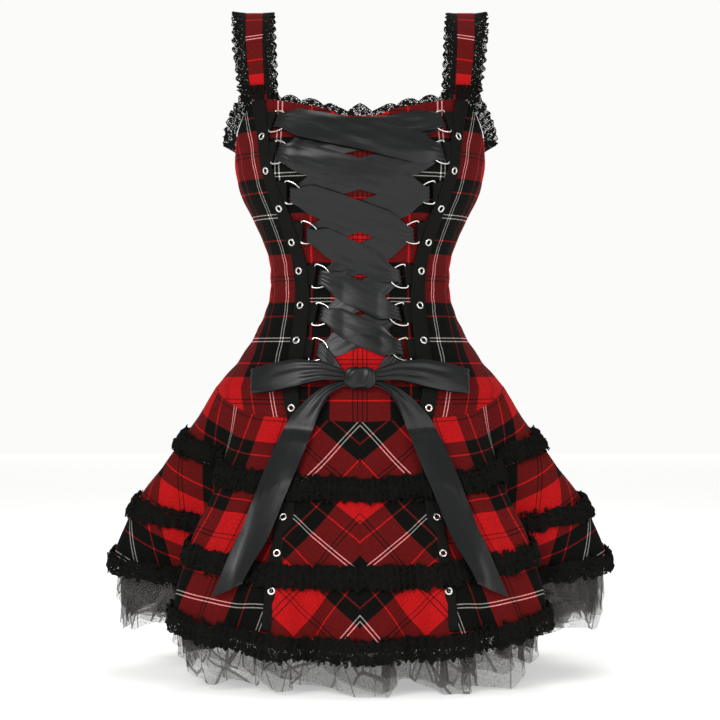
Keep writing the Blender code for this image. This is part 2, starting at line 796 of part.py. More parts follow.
def add_strip(name, path, thickness, finish):
    """A flat ribbon along stations of x, z, lift, half height and lean over the front."""
    outer, inner = [], []
    for index, (x, z, lift, half, lean) in enumerate(path):
        before = path[max(index - 1, 0)]
        after = path[min(index + 1, len(path) - 1)]
        along = unit(np.array((after[0] - before[0], after[2] - before[2])))
        off = np.array((-along[1], along[0])) * thickness / 2
        for rows, sign in ((outer, 1), (inner, -1)):
            x_off, height = x + sign * off[0], lift + sign * off[1]
            spots = [(x_off + up * half * lean, z + up * half) for up in (1, 0, -1)]
            rows.append([front_point(*spot, height) for spot in spots])
    return add_wall(name, outer, inner, finish)


def add_knot():
    """The bow's knot: a small puffed band across the ribbon's two ends."""
    rows, columns = 7, 10
    centre = front_point(0.0, KNOT_Z, KNOT_LIFT)
    points, faces = [], []
    for i in range(1, rows):
        rise = math.pi * i / rows
        for j in range(columns):
            turn = math.tau * j / columns
            ring = math.sin(rise) ** 0.6
            x = KNOT_SIZE[0] * ring * math.copysign(abs(math.cos(turn)) ** 0.7, math.cos(turn))
            y = KNOT_SIZE[1] * ring * math.sin(turn)
            z = KNOT_SIZE[2] * math.copysign(abs(math.cos(rise)) ** 0.8, math.cos(rise))
            points.append(centre + np.array((x, y, z)))
    for i in range(rows - 2):
        for j in range(columns):
            k = (j + 1) % columns
            a, b = i * columns, (i + 1) * columns
            faces.append((a + j, b + j, b + k, a + k))
    faces.append(tuple(range(columns)))
    faces.append(tuple(reversed(range((rows - 2) * columns, (rows - 1) * columns))))
    return add_piece("bow_knot", points, faces, "satin")


def build_bow_loop(letter, mirror):
    """A loop of the bow: a ribbon that goes out, turns at the tip and comes back."""
    out = [(x, z, front, half) for x, z, half, front, back in LOOP]
    home = [(x, z, back, half) for x, z, half, front, back in reversed(LOOP)]
    x, z, half, front, back = LOOP[-1]
    middle, radius = (front + back) / 2, (front - back) / 2
    tip = [
        (x + radius * 0.8, z, middle + radius * 0.7, half),
        (x + radius * 1.1, z, middle, half),
        (x + radius * 0.8, z, middle - radius * 0.7, half),
    ]
    path = [(mirror * x, z, lift, half, 0.0) for x, z, lift, half in out + tip + home]
    return add_strip("bow_loop_" + letter, path, RIBBON_THICK, "satin")


def front_surface(x, z, lift):
    """A raised point of the bodice's or the skirt's front at this x and z."""
    angle, fall = skirt_place(x, z)
    if fall > 0:
        return raised(skirt_base, angle, fall, lift)
    return front_point(x, z, lift)


def build_bow_tail(letter, mirror):
    """A tail of the bow: it leaves the knot twisted narrow and falls in front of the
    skirt, clear of the trims, to a slanted end."""
    outer, inner = [], []
    for index, (x, z, half, lift) in enumerate(TAIL):
        before, after = TAIL[max(index - 1, 0)], TAIL[min(index + 1, len(TAIL) - 1)]
        along = unit(np.array((after[0] - before[0], after[1] - before[1])))
        slant = 0.010 if index == len(TAIL) - 1 else 0.0
        for rows, height in ((outer, lift + RIBBON_THICK), (inner, lift)):
            spots = []
            for side in (-1, 0, 1):
                dx = -along[1] * half * side - along[0] * slant * side
                dz = along[0] * half * side - along[1] * slant * side
                spots.append(front_surface(x + dx, z + dz, height) * (mirror, 1, 1))
            rows.append(spots)
    return add_wall("bow_tail_" + letter, outer, inner, "satin")


def strap_place(share):
    """Centre point of the strap, its direction of travel and its sideways direction."""
    here = np.array([smooth(STRAP, share, column) for column in (1, 2, 3)])
    ahead = np.array([smooth(STRAP, share + 0.01, column) for column in (1, 2, 3)])
    behind = np.array([smooth(STRAP, share - 0.01, column) for column in (1, 2, 3)])
    along = unit(ahead - behind)
    side = np.array([smooth(STRAP, share, column) for column in (4, 5)] + [0.0])
    side = unit(side - along * np.dot(side, along))
    return here, along, side


def build_strap(letter, mirror):
    outer, inner = [], []
    for row in range(17):
        here, along, side = strap_place(row / 16)
        outward = unit(np.cross(side, along))
        edges = [here + side * STRAP_WIDTH / 2 * across for across in (-1, 0, 1)]
        outer.append([p * (mirror, 1, 1) for p in edges])
        inner.append([(p - outward * CLOTH) * (mirror, 1, 1) for p in edges])
    return add_wall("strap_" + letter, outer, inner, "tartan")


def lace_band(name, roots, closed):
    """A gathered lace band. Each root is a point, the way the lace stands and its width."""
    outer, inner = [], []
    count = len(roots)
    for index, (root, stand, width) in enumerate(roots):
        before = roots[(index - 1) % count if closed else max(index - 1, 0)][0]
        after = roots[(index + 1) % count if closed else min(index + 1, count - 1)][0]
        face = unit(np.cross(after - before, stand))
        wave = LACE_WAVE if index % 2 else -LACE_WAVE
        tip = root + stand * (width - (LACE_SCALLOP if index % 2 else 0.0)) + face * wave
        middle = root + stand * width * 0.5 + face * wave * 0.5
        spine = (root, middle, tip)
        outer.append([p + face * LACE_THICK / 2 for p in spine])
        inner.append([p - face * LACE_THICK / 2 for p in spine])
    fronts = [list(row) for row in zip(*outer)]
    backs = [list(row) for row in zip(*inner)]
    return add_wall(name, fronts, backs, "lace", closed)


def armhole_roots(mirror):
    """Roots of the lace all round an armhole: down the strap's front, along the
    bodice's top edge under the arm and up the strap's back."""
    roots = []
    for step in range(9):
        here, _, side = strap_place(0.485 * (1 - step / 9))
        roots.append((here + side * (STRAP_WIDTH / 2 + 0.0010), side, STRAP_OUTER_LACE))
    for step in range(14):
        angle = 61.0 + step * 4.7
        out = unit(normal(bodice_base, angle, 0.02) * (1, 1, 0))
        root = bodice_base(angle, 0.004) + out * 0.0013
        roots.append((root, unit(out * 0.8 + np.array((0, 0, 0.6))), ARMHOLE_LACE))
    for step in range(9):
        here, _, side = strap_place(1 - 0.515 * (step + 0.25) / 9)
        roots.append((here + side * (STRAP_WIDTH / 2 + 0.0010), side, STRAP_OUTER_LACE))
    flip = np.array((mirror, 1, 1))
    return [(root * flip, stand * flip, width) for root, stand, width in roots]


def inner_strap_roots(mirror):
    roots = []
    flip = np.array((mirror, 1, 1))
    for step in range(26):
        here, _, side = strap_place(0.02 + 0.96 * step / 25)
        root = here - side * (STRAP_WIDTH / 2 + 0.0010)
        roots.append((root * flip, -side * flip, STRAP_LACE))
    return roots


def build_neck_lace():
    """Lace that stands up behind the front neckline, highest at its centre point."""
    outer, inner = [[], [], []], [[], [], []]
    for step in range(-16, 17):
        angle = step * 2.8
        edge = smooth(TOP_EDGE, folded(angle))
        scallop = NECK_SCALLOP * abs(math.sin(math.pi * (step / 4 + 0.5)))
        peak = NECK_PEAK * math.exp(-((angle / 6) ** 2))
        for row, z in enumerate((edge + NECK_STAND + scallop + peak, edge, edge - 0.010)):
            across = body(angle + 0.5, z) - body(angle - 0.5, z)
            out = unit(np.cross(across, (0, 0, 1)))
            outer[row].append(body(angle, z) - out * 0.0028)
            inner[row].append(body(angle, z) - out * (0.0028 + LACE_THICK))
    return add_wall("neck_lace", outer, inner, "lace")


def build_strap_base_lace(letter, mirror):
    """A short gathered bit of lace over the foot of a strap."""
    outer, inner = [[], []], [[], []]
    for step in range(13):
        across = (step / 12 - 0.5) * 0.022
        for row, share in enumerate((0.052, 0.008)):
            here, along, side = strap_place(share)
            outward = unit(np.cross(side, along))
            height = 0.0022 + (0.0008 if step % 2 else 0.0)
            point = here + side * across + outward * height
            outer[row].append((point + outward * LACE_THICK) * (mirror, 1, 1))
            inner[row].append(point * (mirror, 1, 1))
    return add_wall("strap_base_lace_" + letter, outer, inner, "lace")


def ring_columns():
    """The skirt's columns all the way round, and whether the tape lies on each."""
    front, side, back = skirt_columns()
    half = [*front, *side[1:], *back[1:]]
    on_tape = {len(front) - 2, len(front) - 1, len(front)}
    left = [(column, n in on_tape) for n, column in enumerate(half)]
    right = [(lambda along, c=column: -c(along), tape) for column, tape in reversed(left[1:-1])]
    return left + right


def build_trim(number, centre):
    """A ruched lace band round the skirt, puffed between its gathers."""
    drop = WAIST_SEAM[0][1] - HEM[0][1]
    points, faces = [], []
    columns = ring_columns()
    for index, (column, tape) in enumerate(columns):
        puff = TRIM_WAVE if index % 2 else -TRIM_WAVE
        seat = 0.0034 if tape else 0.0009
        for offset, lift in TRIM_SECTION:
            fall = centre - offset * TRIM_HEIGHT / drop
            height = seat + lift + puff * lift / TRIM_PUFF
            points.append(between_rows(skirt_base, SKIRT_ROWS, column, fall, height))
    size, count = len(TRIM_SECTION), len(columns)
    for j in range(count):
        a, b = j * size, ((j + 1) % count) * size
        for n in range(size):
            m = (n + 1) % size
            faces.append((a + n, a + m, b + m, b + n))
    faces = [half for face in faces for half in (face[:3], (face[0], face[2], face[3]))]
    return add_piece(f"skirt_trim_{number}", points, faces, "lace", 60)


def build_net_frill():
    """The net frill: a pleated wall that hangs from inside the skirt to below the hem."""
    outer, inner = [], []
    for share in (0.0, 0.4, 0.7, 1.0):
        rows = ([], [])
        for index, (column, _) in enumerate(ring_columns()):
            angle = column(1.0)
            end = smooth(NET_END, folded(angle))
            fall = NET_START + share * (end - NET_START)
            point = skirt_base(angle, min(fall, 1.0))
            out = normal(skirt_base, angle, min(fall, 1.0) - 0.02)
            flat = unit(out * (1, 1, 0))
            seam, hem = smooth(WAIST_SEAM, folded(angle)), smooth(HEM, folded(angle))
            point[2] = seam + fall * (hem - seam)
            wave = (0.0012 + 0.005 * share) * (1 if index % 2 else -1)
            inset = 0.0062 + 0.010 * share - wave
            rows[0].append(point - flat * inset)
            rows[1].append(point - flat * (inset + 0.0012))
        outer.append(rows[0])
        inner.append(rows[1])
    return add_wall("net_frill", outer, inner, "net", closed=True)


def plate_with_hole(outline, hole, place):
    """A flat piece with one hole. The outline and the hole have as many corners, in
    the same order, and place maps a corner and an end to its point."""
    count = len(outline)
    points, faces = [], []
    for end in (-1, 1):
        points += [place(*corner, end) for corner in outline]
        points += [place(*corner, end) for corner in hole]
    for n in range(count):
        m = (n + 1) % count
        faces.append((n, m, m + 2 * count, n + 2 * count))
        faces.append((n + count, n + 3 * count, m + 3 * count, m + count))
        faces.append((n, n + count, m + count, m))
        faces.append((n + 2 * count, m + 2 * count, m + 3 * count, n + 3 * count))
    return points, faces


def rectangle(low_a, low_b, high_a, high_b):
    return ((low_a, low_b), (high_a, low_b), (high_a, high_b), (low_a, high_b))


def build_zip():
    """Slider of the concealed back zip and its pull tab, which hangs on the slider's
    bridge and swings about PULL_PIVOT."""
    y, z = PULL_PIVOT[1], PULL_PIVOT[2]
    seat = y - 0.0031
    corners = [
        (x, depth, height)
        for x in (-0.0038, 0.0038)
        for depth in (seat, seat + 0.0012)
        for height in (z - 0.006, z + 0.006)
    ]
    sides = ((0, 1, 3, 2), (4, 6, 7, 5), (0, 4, 5, 1), (2, 3, 7, 6), (0, 2, 6, 4), (1, 5, 7, 3))
    slider = add_piece("zip_slider", corners, sides, "metal", 30)
    points, faces = plate_with_hole(
        rectangle(seat + 0.0006, z - 0.0028, y + 0.0022, z + 0.0028),
        rectangle(y - 0.0011, z - 0.0016, y + 0.0011, z + 0.0016),
        lambda depth, height, end: (end * 0.0008, depth, height),
    )
    bridge = add_piece("zip_bridge", points, faces, "metal", 30)
    bridge.hide_render = True
    bridge.display_type = "WIRE"
    union = slider.modifiers.new("bridge", "BOOLEAN")
    union.operation = "UNION"
    union.object = bridge
    points, faces = plate_with_hole(
        rectangle(-0.0032, -0.0220, 0.0032, 0.0006),
        rectangle(-0.0017, -0.0048, 0.0017, -0.0006),
        lambda x, height, end: (x, end * 0.0005, height),
    )
    pull = add_piece("zip_pull", points, faces, "metal", 30)
    pull.location = PULL_PIVOT
    return slider, pull


build_bodice()
build_skirt()
build_neck_lace()
add_strip("lacing_ribbon", lacing_path(), RIBBON_THICK, "satin")
add_knot()
build_net_frill()
for number, centre in enumerate(TRIM_FALLS, start=1):
    build_trim(number, centre)
for letter, mirror in (("l", 1), ("r", -1)):
    build_tape(letter, mirror)
    build_ring_tabs(letter, mirror)
    build_strap(letter, mirror)
    lace_band("armhole_lace_" + letter, armhole_roots(mirror), closed=True)
    lace_band("strap_lace_" + letter, inner_strap_roots(mirror), closed=False)
    build_strap_base_lace(letter, mirror)
    build_bow_loop(letter, mirror)
    build_bow_tail(letter, mirror)
    for row in range(len(RING_Z)):
        build_ring(letter, mirror, row)
build_zip()
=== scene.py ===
import json
import math

import bpy
import numpy as np
from mathutils import Matrix, Vector

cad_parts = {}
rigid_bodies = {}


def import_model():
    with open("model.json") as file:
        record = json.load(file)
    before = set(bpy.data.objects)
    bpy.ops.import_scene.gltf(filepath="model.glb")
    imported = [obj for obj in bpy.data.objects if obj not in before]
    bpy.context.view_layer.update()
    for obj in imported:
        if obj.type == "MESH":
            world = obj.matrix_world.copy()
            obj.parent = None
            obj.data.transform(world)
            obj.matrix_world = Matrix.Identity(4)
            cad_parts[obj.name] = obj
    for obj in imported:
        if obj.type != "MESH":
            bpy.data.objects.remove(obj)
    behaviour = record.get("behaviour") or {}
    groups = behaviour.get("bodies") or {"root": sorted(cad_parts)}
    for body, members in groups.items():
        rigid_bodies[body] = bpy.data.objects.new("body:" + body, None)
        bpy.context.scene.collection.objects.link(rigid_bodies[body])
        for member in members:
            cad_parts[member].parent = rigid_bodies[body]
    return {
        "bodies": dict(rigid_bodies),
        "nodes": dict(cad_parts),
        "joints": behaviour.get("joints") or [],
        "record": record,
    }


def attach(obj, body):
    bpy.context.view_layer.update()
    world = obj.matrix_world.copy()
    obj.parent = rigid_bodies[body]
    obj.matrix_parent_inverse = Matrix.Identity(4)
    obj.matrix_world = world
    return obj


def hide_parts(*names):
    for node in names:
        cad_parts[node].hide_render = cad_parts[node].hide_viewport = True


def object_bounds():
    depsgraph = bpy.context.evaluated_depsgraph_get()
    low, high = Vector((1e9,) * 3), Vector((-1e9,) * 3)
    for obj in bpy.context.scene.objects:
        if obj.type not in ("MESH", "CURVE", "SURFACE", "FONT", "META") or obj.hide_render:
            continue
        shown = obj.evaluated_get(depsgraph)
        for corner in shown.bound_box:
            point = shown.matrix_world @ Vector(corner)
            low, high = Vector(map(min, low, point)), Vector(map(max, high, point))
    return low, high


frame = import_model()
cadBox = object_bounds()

rng = np.random.default_rng(41)

# Body sections: z, half width, front depth, back depth
bodyRows = (
    (-0.530, 0.187, 0.1225, 0.120), (-0.486, 0.187, 0.1160, 0.114),
    (-0.476, 0.179, 0.1140, 0.111), (-0.450, 0.157, 0.1080, 0.104),
    (-0.424, 0.140, 0.1020, 0.096), (-0.398, 0.127, 0.0950, 0.088),
    (-0.372, 0.118, 0.0900, 0.081), (-0.346, 0.116, 0.0880, 0.078),
    (-0.320, 0.118, 0.0910, 0.079), (-0.294, 0.127, 0.0980, 0.082),
    (-0.268, 0.139, 0.1080, 0.087), (-0.242, 0.152, 0.1170, 0.092),
    (-0.216, 0.160, 0.1210, 0.095), (-0.190, 0.162, 0.1210, 0.097),
    (-0.146, 0.161, 0.1040, 0.095), (-0.110, 0.158, 0.0880, 0.090),
)
# Edges: angle, z
topEdge = (
    (0, -0.1455), (9, -0.1435), (14, -0.1365), (24, -0.1300), (44, -0.1205),
    (54, -0.1190), (62, -0.1240), (75, -0.1520), (90, -0.1780), (108, -0.1700),
    (122, -0.1500), (134, -0.1490), (180, -0.1600),
)
waistSeam = (
    (0, -0.5270), (30, -0.5220), (45, -0.5185), (60, -0.5065), (70, -0.4970),
    (80, -0.4885), (90, -0.4840), (105, -0.4855), (135, -0.4980), (180, -0.5150),
)
hemLine = (
    (0, -0.797), (20, -0.793), (45, -0.768), (60, -0.735),
    (75, -0.712), (90, -0.7035), (135, -0.750), (180, -0.785),
)
# Skirt sections: fall, half width, front depth, back depth
skirtRows = (
    (0.00, 0.187, 0.1225, 0.120), (0.17, 0.210, 0.1420, 0.140),
    (0.33, 0.234, 0.1650, 0.162), (0.50, 0.262, 0.1900, 0.186),
    (0.67, 0.288, 0.2100, 0.208), (0.83, 0.305, 0.2220, 0.226),
    (1.00, 0.318, 0.2300, 0.238),
)
# Folds: angle, half width in degrees, depth at the hem as a share
skirtFolds = (
    (12, 7, 0.06), (31, 8, 0.05), (61, 16, 0.34),
    (112, 13, 0.15), (138, 12, 0.11), (160, 11, 0.12),
)
tapeOnBodice = (
    (0.000, 54.0), (0.125, 47.3), (0.230, 44.2), (0.345, 43.0), (0.450, 41.8),
    (0.540, 39.6), (0.650, 36.8), (0.760, 32.9), (0.870, 28.8), (1.000, 25.4),
)
tapeOnSkirt = ((0.00, 25.4), (0.20, 23.2), (0.45, 21.2), (0.75, 20.4), (1.00, 20.0))
# Strap: share of its length, x, y, z, sideways x, sideways y
strapRows = (
    (0.000, 0.1295, -0.0545, -0.1184, 0.79, 0.61),
    (0.130, 0.1325, -0.0600, -0.0800, 0.90, 0.40),
    (0.270, 0.1350, -0.0520, -0.0380, 0.97, 0.20),
    (0.390, 0.1360, -0.0270, -0.0075, 1.00, 0.05),
    (0.485, 0.1360, 0.0000, 0.0000, 1.00, 0.00),
    (0.580, 0.1358, 0.0270, -0.0095, 1.00, -0.05),
    (0.720, 0.1345, 0.0520, -0.0460, 0.95, -0.25),
    (0.850, 0.1310, 0.0600, -0.0950, 0.88, -0.45),
    (1.000, 0.1270, 0.0585, -0.1476, 0.80, -0.60),
)
sideSeam, backSeam, skirtSideSeam = 80.0, 128.0, 96.0


def curve(table, key, column=1):
    rows = np.array(table, float)
    keys, values = rows[:, 0], rows[:, column]
    at = np.arange(len(keys))
    before, after = np.maximum(at - 1, 0), np.minimum(at + 1, len(keys) - 1)
    slope = (values[after] - values[before]) / (keys[after] - keys[before])
    key = np.clip(key, keys[0], keys[-1])
    low = np.clip(np.searchsorted(keys, key, side="right") - 1, 0, len(keys) - 2)
    step = keys[low + 1] - keys[low]
    u = (key - keys[low]) / step
    ends = values[low] * (1 + 2 * u) * (1 - u) ** 2 + values[low + 1] * u * u * (3 - 2 * u)
    return ends + step * u * (1 - u) * (slope[low] * (1 - u) - slope[low + 1] * u)


def folded(angle):
    return np.abs((angle + 180) % 360 - 180)


def unit(vectors):
    return vectors / np.maximum(np.linalg.norm(vectors, axis=-1, keepdims=True), 1e-12)


def vector(x, y, z):
    return np.stack(np.broadcast_arrays(x, y, z), axis=-1).astype(float)


def pair(u, v):
    return np.stack(np.broadcast_arrays(u, v), axis=-1)


def runOf(path):
    return np.concatenate([[0], np.cumsum(np.linalg.norm(np.diff(path, axis=0), axis=1))])


def flip(grid, marks):
    return grid[:, ::-1] * (-1, 1, 1), marks[:, ::-1]


# Cups of the bust: where they lie, how far they reach and swell
cupSpec = {"angle": 31.0, "across": 15, "z": -0.195, "down": 0.036, "swell": 0.008, "of": 0.13}


def body(angle, z):
    angle, z = np.broadcast_arrays(angle, z)
    turn = np.radians(angle)
    depth = np.where(np.cos(turn) > 0, curve(bodyRows, z, 2), curve(bodyRows, z, 3))
    off = (folded(angle) - cupSpec["angle"]) / cupSpec["across"]
    cup = np.exp(-(off**2) - ((z - cupSpec["z"]) / cupSpec["down"]) ** 2)
    swell = 1 + cup * cupSpec["swell"] / cupSpec["of"]
    width = curve(bodyRows, z, 1)
    return vector(width * np.sin(turn) * swell, -depth * np.cos(turn) * swell, z)


def bodiceAt(angle, drop):
    side = folded(angle)
    top, seam = curve(topEdge, side), curve(waistSeam, side)
    return body(angle, top + drop * (seam - top))


def skirtAt(angle, fall):
    angle, fall = np.broadcast_arrays(angle, fall)
    side, turn = folded(angle), np.radians(angle)
    seam, hem = curve(waistSeam, side), curve(hemLine, side)
    start = body(angle, seam)
    front = np.cos(turn) > 0
    wider = curve(skirtRows, fall, 1) - skirtRows[0][1]
    deeper = np.where(
        front,
        curve(skirtRows, fall, 2) - skirtRows[0][2],
        curve(skirtRows, fall, 3) - skirtRows[0][3],
    )
    share = np.zeros_like(side, dtype=float)
    for centre, half, depth in skirtFolds:
        near = np.abs(side - centre) < half
        share += near * depth * (1 + np.cos(np.pi * (side - centre) / half)) / 2
    inward = 1 - share * np.clip(fall, 0, 1) ** 0.85
    x = (start[..., 0] + wider * np.sin(turn)) * inward
    y = (start[..., 1] - deeper * np.cos(turn)) * inward
    return vector(x, y, seam + fall * (hem - seam))


def outwardOf(base, angle, along):
    across = base(angle + 0.5, along) - base(angle - 0.5, along)
    up = base(angle, along - 0.01) - base(angle, along + 0.01)
    return unit(np.cross(across, up))


def raised(base, angle, along, lift):
    out = outwardOf(base, angle, along)
    return base(angle, along) + np.asarray(lift)[..., None] * out


def beside(base, angle, along, distance):
    step = np.linalg.norm(base(angle + 0.5, along) - base(angle - 0.5, along), axis=-1)
    return angle + distance / step


def frontPoint(x, z, lift):
    width = curve(bodyRows, z, 1)
    angle = np.degrees(np.arcsin(np.clip(x / width, -1, 1)))
    for _ in range(4):
        angle = angle - (body(angle, z)[..., 0] - x) / (width * 0.0174)
    across = body(angle + 0.5, z) - body(angle - 0.5, z)
    up = body(angle, z + 0.004) - body(angle, z - 0.004)
    return body(angle, z) + np.asarray(lift)[..., None] * unit(np.cross(across, up))


def frontSurface(x, z, lift):
    angle, fall = np.zeros_like(x), np.full_like(x, 0.5)
    for _ in range(30):
        seam, hem = curve(waistSeam, folded(angle)), curve(hemLine, folded(angle))
        fall = np.clip((z - seam) / (hem - seam), 0, 1)
        here = skirtAt(angle, fall)[..., 0]
        angle = angle + 0.6 * np.degrees((x - here) / curve(skirtRows, fall, 1))
    onSkirt = raised(skirtAt, angle, np.maximum(fall, 1e-3), lift)
    share = np.clip(fall / 0.12, 0, 1)[..., None]
    share = share * share * (3 - 2 * share)
    return onSkirt * share + frontPoint(x, z, lift) * (1 - share)


def tapeAt(place, across, lift):
    given = (np.asarray(v, float) for v in (place, across, lift))
    place, across, lift = np.broadcast_arrays(*given)
    drop, fall = np.clip(place, 0, 1), np.clip(place - 1, 0, 1)
    high = curve(tapeOnBodice, drop)
    low = curve(tapeOnSkirt, fall)
    onBodice = raised(bodiceAt, beside(bodiceAt, high, drop, across), drop, lift)
    onSkirt = raised(skirtAt, beside(skirtAt, low, fall, across), fall, lift)
    return np.where((place > 1)[..., None], onSkirt, onBodice)


def tapeSeat(place):
    return 0.0028 + np.clip((place - 0.93) / 0.1, 0, 1) * (0.0010 - 0.0028)


def resample(path, step, smoothing=0.0, wrap=False):
    path = np.asarray(path, float)
    if wrap:
        path = np.vstack([path, path[:1]])
    length = runOf(path[:, :3])
    count = max(int(length[-1] / step), 4)
    at = np.linspace(0, length[-1], count + 1)
    rows = np.stack([np.interp(at, length, path[:, n]) for n in range(path.shape[1])], axis=1)
    if smoothing:
        reach = int(3 * smoothing / step) + 1
        weights = np.exp(-((np.arange(-reach, reach + 1) * step / smoothing) ** 2) / 2)
        weights /= weights.sum()
        if wrap:
            padded = np.vstack([rows[-reach - 1 : -1], rows, rows[1 : reach + 1]])
        else:
            head = 2 * rows[0] - rows[reach:0:-1]
            padded = np.vstack([head, rows, 2 * rows[-1] - rows[-2 : -reach - 2 : -1]])
        rows = np.stack(
            [np.convolve(padded[:, n], weights, "valid") for n in range(rows.shape[1])], axis=1
        )
    return rows, at


def wander(count, scale, wrap=False):
    knots = rng.normal(0, 1, max(int(count / scale), 4))
    if wrap:
        knots[-1] = knots[0]
    at = np.linspace(0, len(knots) - 1, count)
    return np.interp(at, np.arange(len(knots)), knots)


def gridNormals(points, wrap=False):
    if wrap:
        points = np.concatenate([points[:, -2:-1], points, points[:, 1:2]], axis=1)
    out = unit(np.cross(np.gradient(points, axis=0), np.gradient(points, axis=1)))
    return out[:, 1:-1] if wrap else out


def makeMesh(name, vertices, faces, materials, uv=None, picks=None):
    mesh = bpy.data.meshes.new(name)
    mesh.from_pydata(np.asarray(vertices).tolist(), [], [tuple(f) for f in faces])
    for material in materials:
        mesh.materials.append(material)
    if picks is not None:
        mesh.polygons.foreach_set("material_index", np.asarray(picks, np.int32))
    if uv is not None:
        corners = np.zeros(len(mesh.loops), np.int32)
        mesh.loops.foreach_get("vertex_index", corners)
        layer = mesh.uv_layers.new(name="cloth")
        layer.data.foreach_set("uv", np.asarray(uv, np.float32)[corners].ravel())
    mesh.shade_smooth()
    made = bpy.data.objects.new(name, mesh)
    bpy.context.scene.collection.objects.link(made)
    return made


def shell(name, outer, thickness, uv, materials, wrap=False):
    rows, columns = outer.shape[:2]
    inner = outer - gridNormals(outer, wrap) * thickness
    size = rows * columns
    index = np.arange(size).reshape(rows, columns)
    quads = np.stack([index[:-1, :-1], index[1:, :-1], index[1:, 1:], index[:-1, 1:]], -1)
    quads = quads.reshape(-1, 4)
    vertices = [outer.reshape(-1, 3), inner.reshape(-1, 3)]
    flat = uv.reshape(-1, 2)
    marks = [flat, flat]
    faces = [quads, quads[:, ::-1] + size]
    picks = [np.zeros(len(quads)), np.full(len(quads), len(materials) - 1)]
    first = 2 * size
    edges = [index[0, :], index[-1, ::-1]]
    if not wrap:
        edges += [index[:, -1], index[::-1, 0]]
    for edge in edges:
        count = len(edge)
        vertices += [vertices[0][edge], vertices[1][edge]]
        marks += [flat[edge], flat[edge]]
        a = first + np.arange(count - 1)
        faces.append(np.stack([a, a + 1, a + 1 + count, a + count], -1))
        picks.append(np.zeros(count - 1))
        first += 2 * count
    vertices, faces, marks = np.vstack(vertices), np.vstack(faces), np.vstack(marks)
    return makeMesh(name, vertices, faces, materials, marks, np.concatenate(picks))


def tube(path, radius, sides=12):
    ahead, behind = np.roll(path, -1, axis=0), np.roll(path, 1, axis=0)
    along = unit(ahead - behind)
    flat = unit(np.linalg.svd(path - path.mean(0))[2][2])
    side = unit(np.cross(along, flat))
    turn = np.arange(sides) * math.tau / sides
    ring = side[:, None] * np.cos(turn)[None, :, None] + flat * np.sin(turn)[None, :, None]
    count = len(path)
    index = np.arange(count * sides).reshape(count, sides)
    below, beyond = np.roll(index, -1, axis=0), np.roll(index, -1, axis=1)
    both = np.roll(below, -1, axis=1)
    faces = np.stack([index, beyond, both, below], -1).reshape(-1, 4)
    return (path[:, None] + ring * radius).reshape(-1, 3), faces


def joined(parts):
    vertices, faces, first = [], [], 0
    for points, quads in parts:
        vertices.append(points)
        faces.append(np.asarray(quads) + first)
        first += len(points)
    return np.vstack(vertices), np.vstack(faces)


def turned(across, along, out):
    frames = np.stack([across, along, out], axis=-1)
    return [Matrix(frame.tolist()).to_euler() for frame in frames]


# Copies of one small model at points, each with its own turn and size
def repeat(name, model, points, turns, sizes, material):
    mesh = bpy.data.meshes.new(name)
    mesh.from_pydata(np.asarray(points).tolist(), [], [])
    for label, values in (("turn", [tuple(t) for t in turns]), ("grow", sizes)):
        kept = mesh.attributes.new(label, "FLOAT_VECTOR", "POINT")
        kept.data.foreach_set("vector", np.asarray(values, np.float32).ravel())
    holder = bpy.data.objects.new(name + " points", mesh)
    bpy.context.scene.collection.objects.link(holder)
    tree = bpy.data.node_groups.new(name + " copies", "GeometryNodeTree")
    for label, kind, way in (
        ("Geometry", "NodeSocketGeometry", "INPUT"), ("Model", "NodeSocketObject", "INPUT"),
        ("Finish", "NodeSocketMaterial", "INPUT"), ("Geometry", "NodeSocketGeometry", "OUTPUT"),
    ):
        tree.interface.new_socket(label, in_out=way, socket_type=kind)
    given = addNode(tree, "NodeGroupInput")
    source = addNode(tree, "GeometryNodeObjectInfo", {"Object": given.outputs["Model"]})
    turn, grow = (
        addNode(
            tree, "GeometryNodeInputNamedAttribute", {"Name": label}, data_type="FLOAT_VECTOR"
        ).outputs["Attribute"]
        for label in ("turn", "grow")
    )
    rotation = addNode(tree, "FunctionNodeEulerToRotation", {"Euler": turn})
    copies = addNode(tree, "GeometryNodeInstanceOnPoints", {
        "Points": given.outputs["Geometry"], "Instance": source.outputs["Geometry"],
        "Rotation": rotation.outputs["Rotation"], "Scale": grow,
    })
    real = addNode(tree, "GeometryNodeRealizeInstances", {"Geometry": copies.outputs["Instances"]})
    finish = addNode(tree, "GeometryNodeSetMaterial", {
        "Geometry": real.outputs["Geometry"], "Material": given.outputs["Finish"],
    })
    addNode(tree, "NodeGroupOutput", {"Geometry": finish.outputs["Geometry"]})
    live = holder.modifiers.new("copies", "NODES")
    live.node_group = tree
    sockets = {s.name: s.identifier for s in tree.interface.items_tree if s.in_out == "INPUT"}
    live[sockets["Model"]] = model
    live[sockets["Finish"]] = material
    seen = holder.evaluated_get(bpy.context.evaluated_depsgraph_get())
    made = bpy.data.objects.new(name, bpy.data.meshes.new_from_object(seen))
    made.data.name = name
    made.data.materials.clear()
    made.data.materials.append(material)
    made.data.shade_smooth()
    bpy.context.scene.collection.objects.link(made)
    bpy.data.objects.remove(holder)
    bpy.data.objects.remove(model)
    return made


def sew(piece, nodes=()):
    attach(piece, "dress")
    if nodes:
        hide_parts(*nodes)


def sewBoth(stem, end, grid, marks, thick, materials):
    for letter, cloth in (("l", (grid, marks)), ("r", flip(grid, marks))):
        made = shell(f"{stem}_{letter}_{end}", cloth[0], thick, cloth[1], materials)
        sew(made, [f"{stem}_{letter}"])


def rgb(code):
    return [int(code[n : n + 2], 16) / 255 for n in (0, 2, 4)]


def linear(code):
    return (*[c / 12.92 if c <= 0.04045 else ((c + 0.055) / 1.055) ** 2.4 for c in rgb(code)], 1)


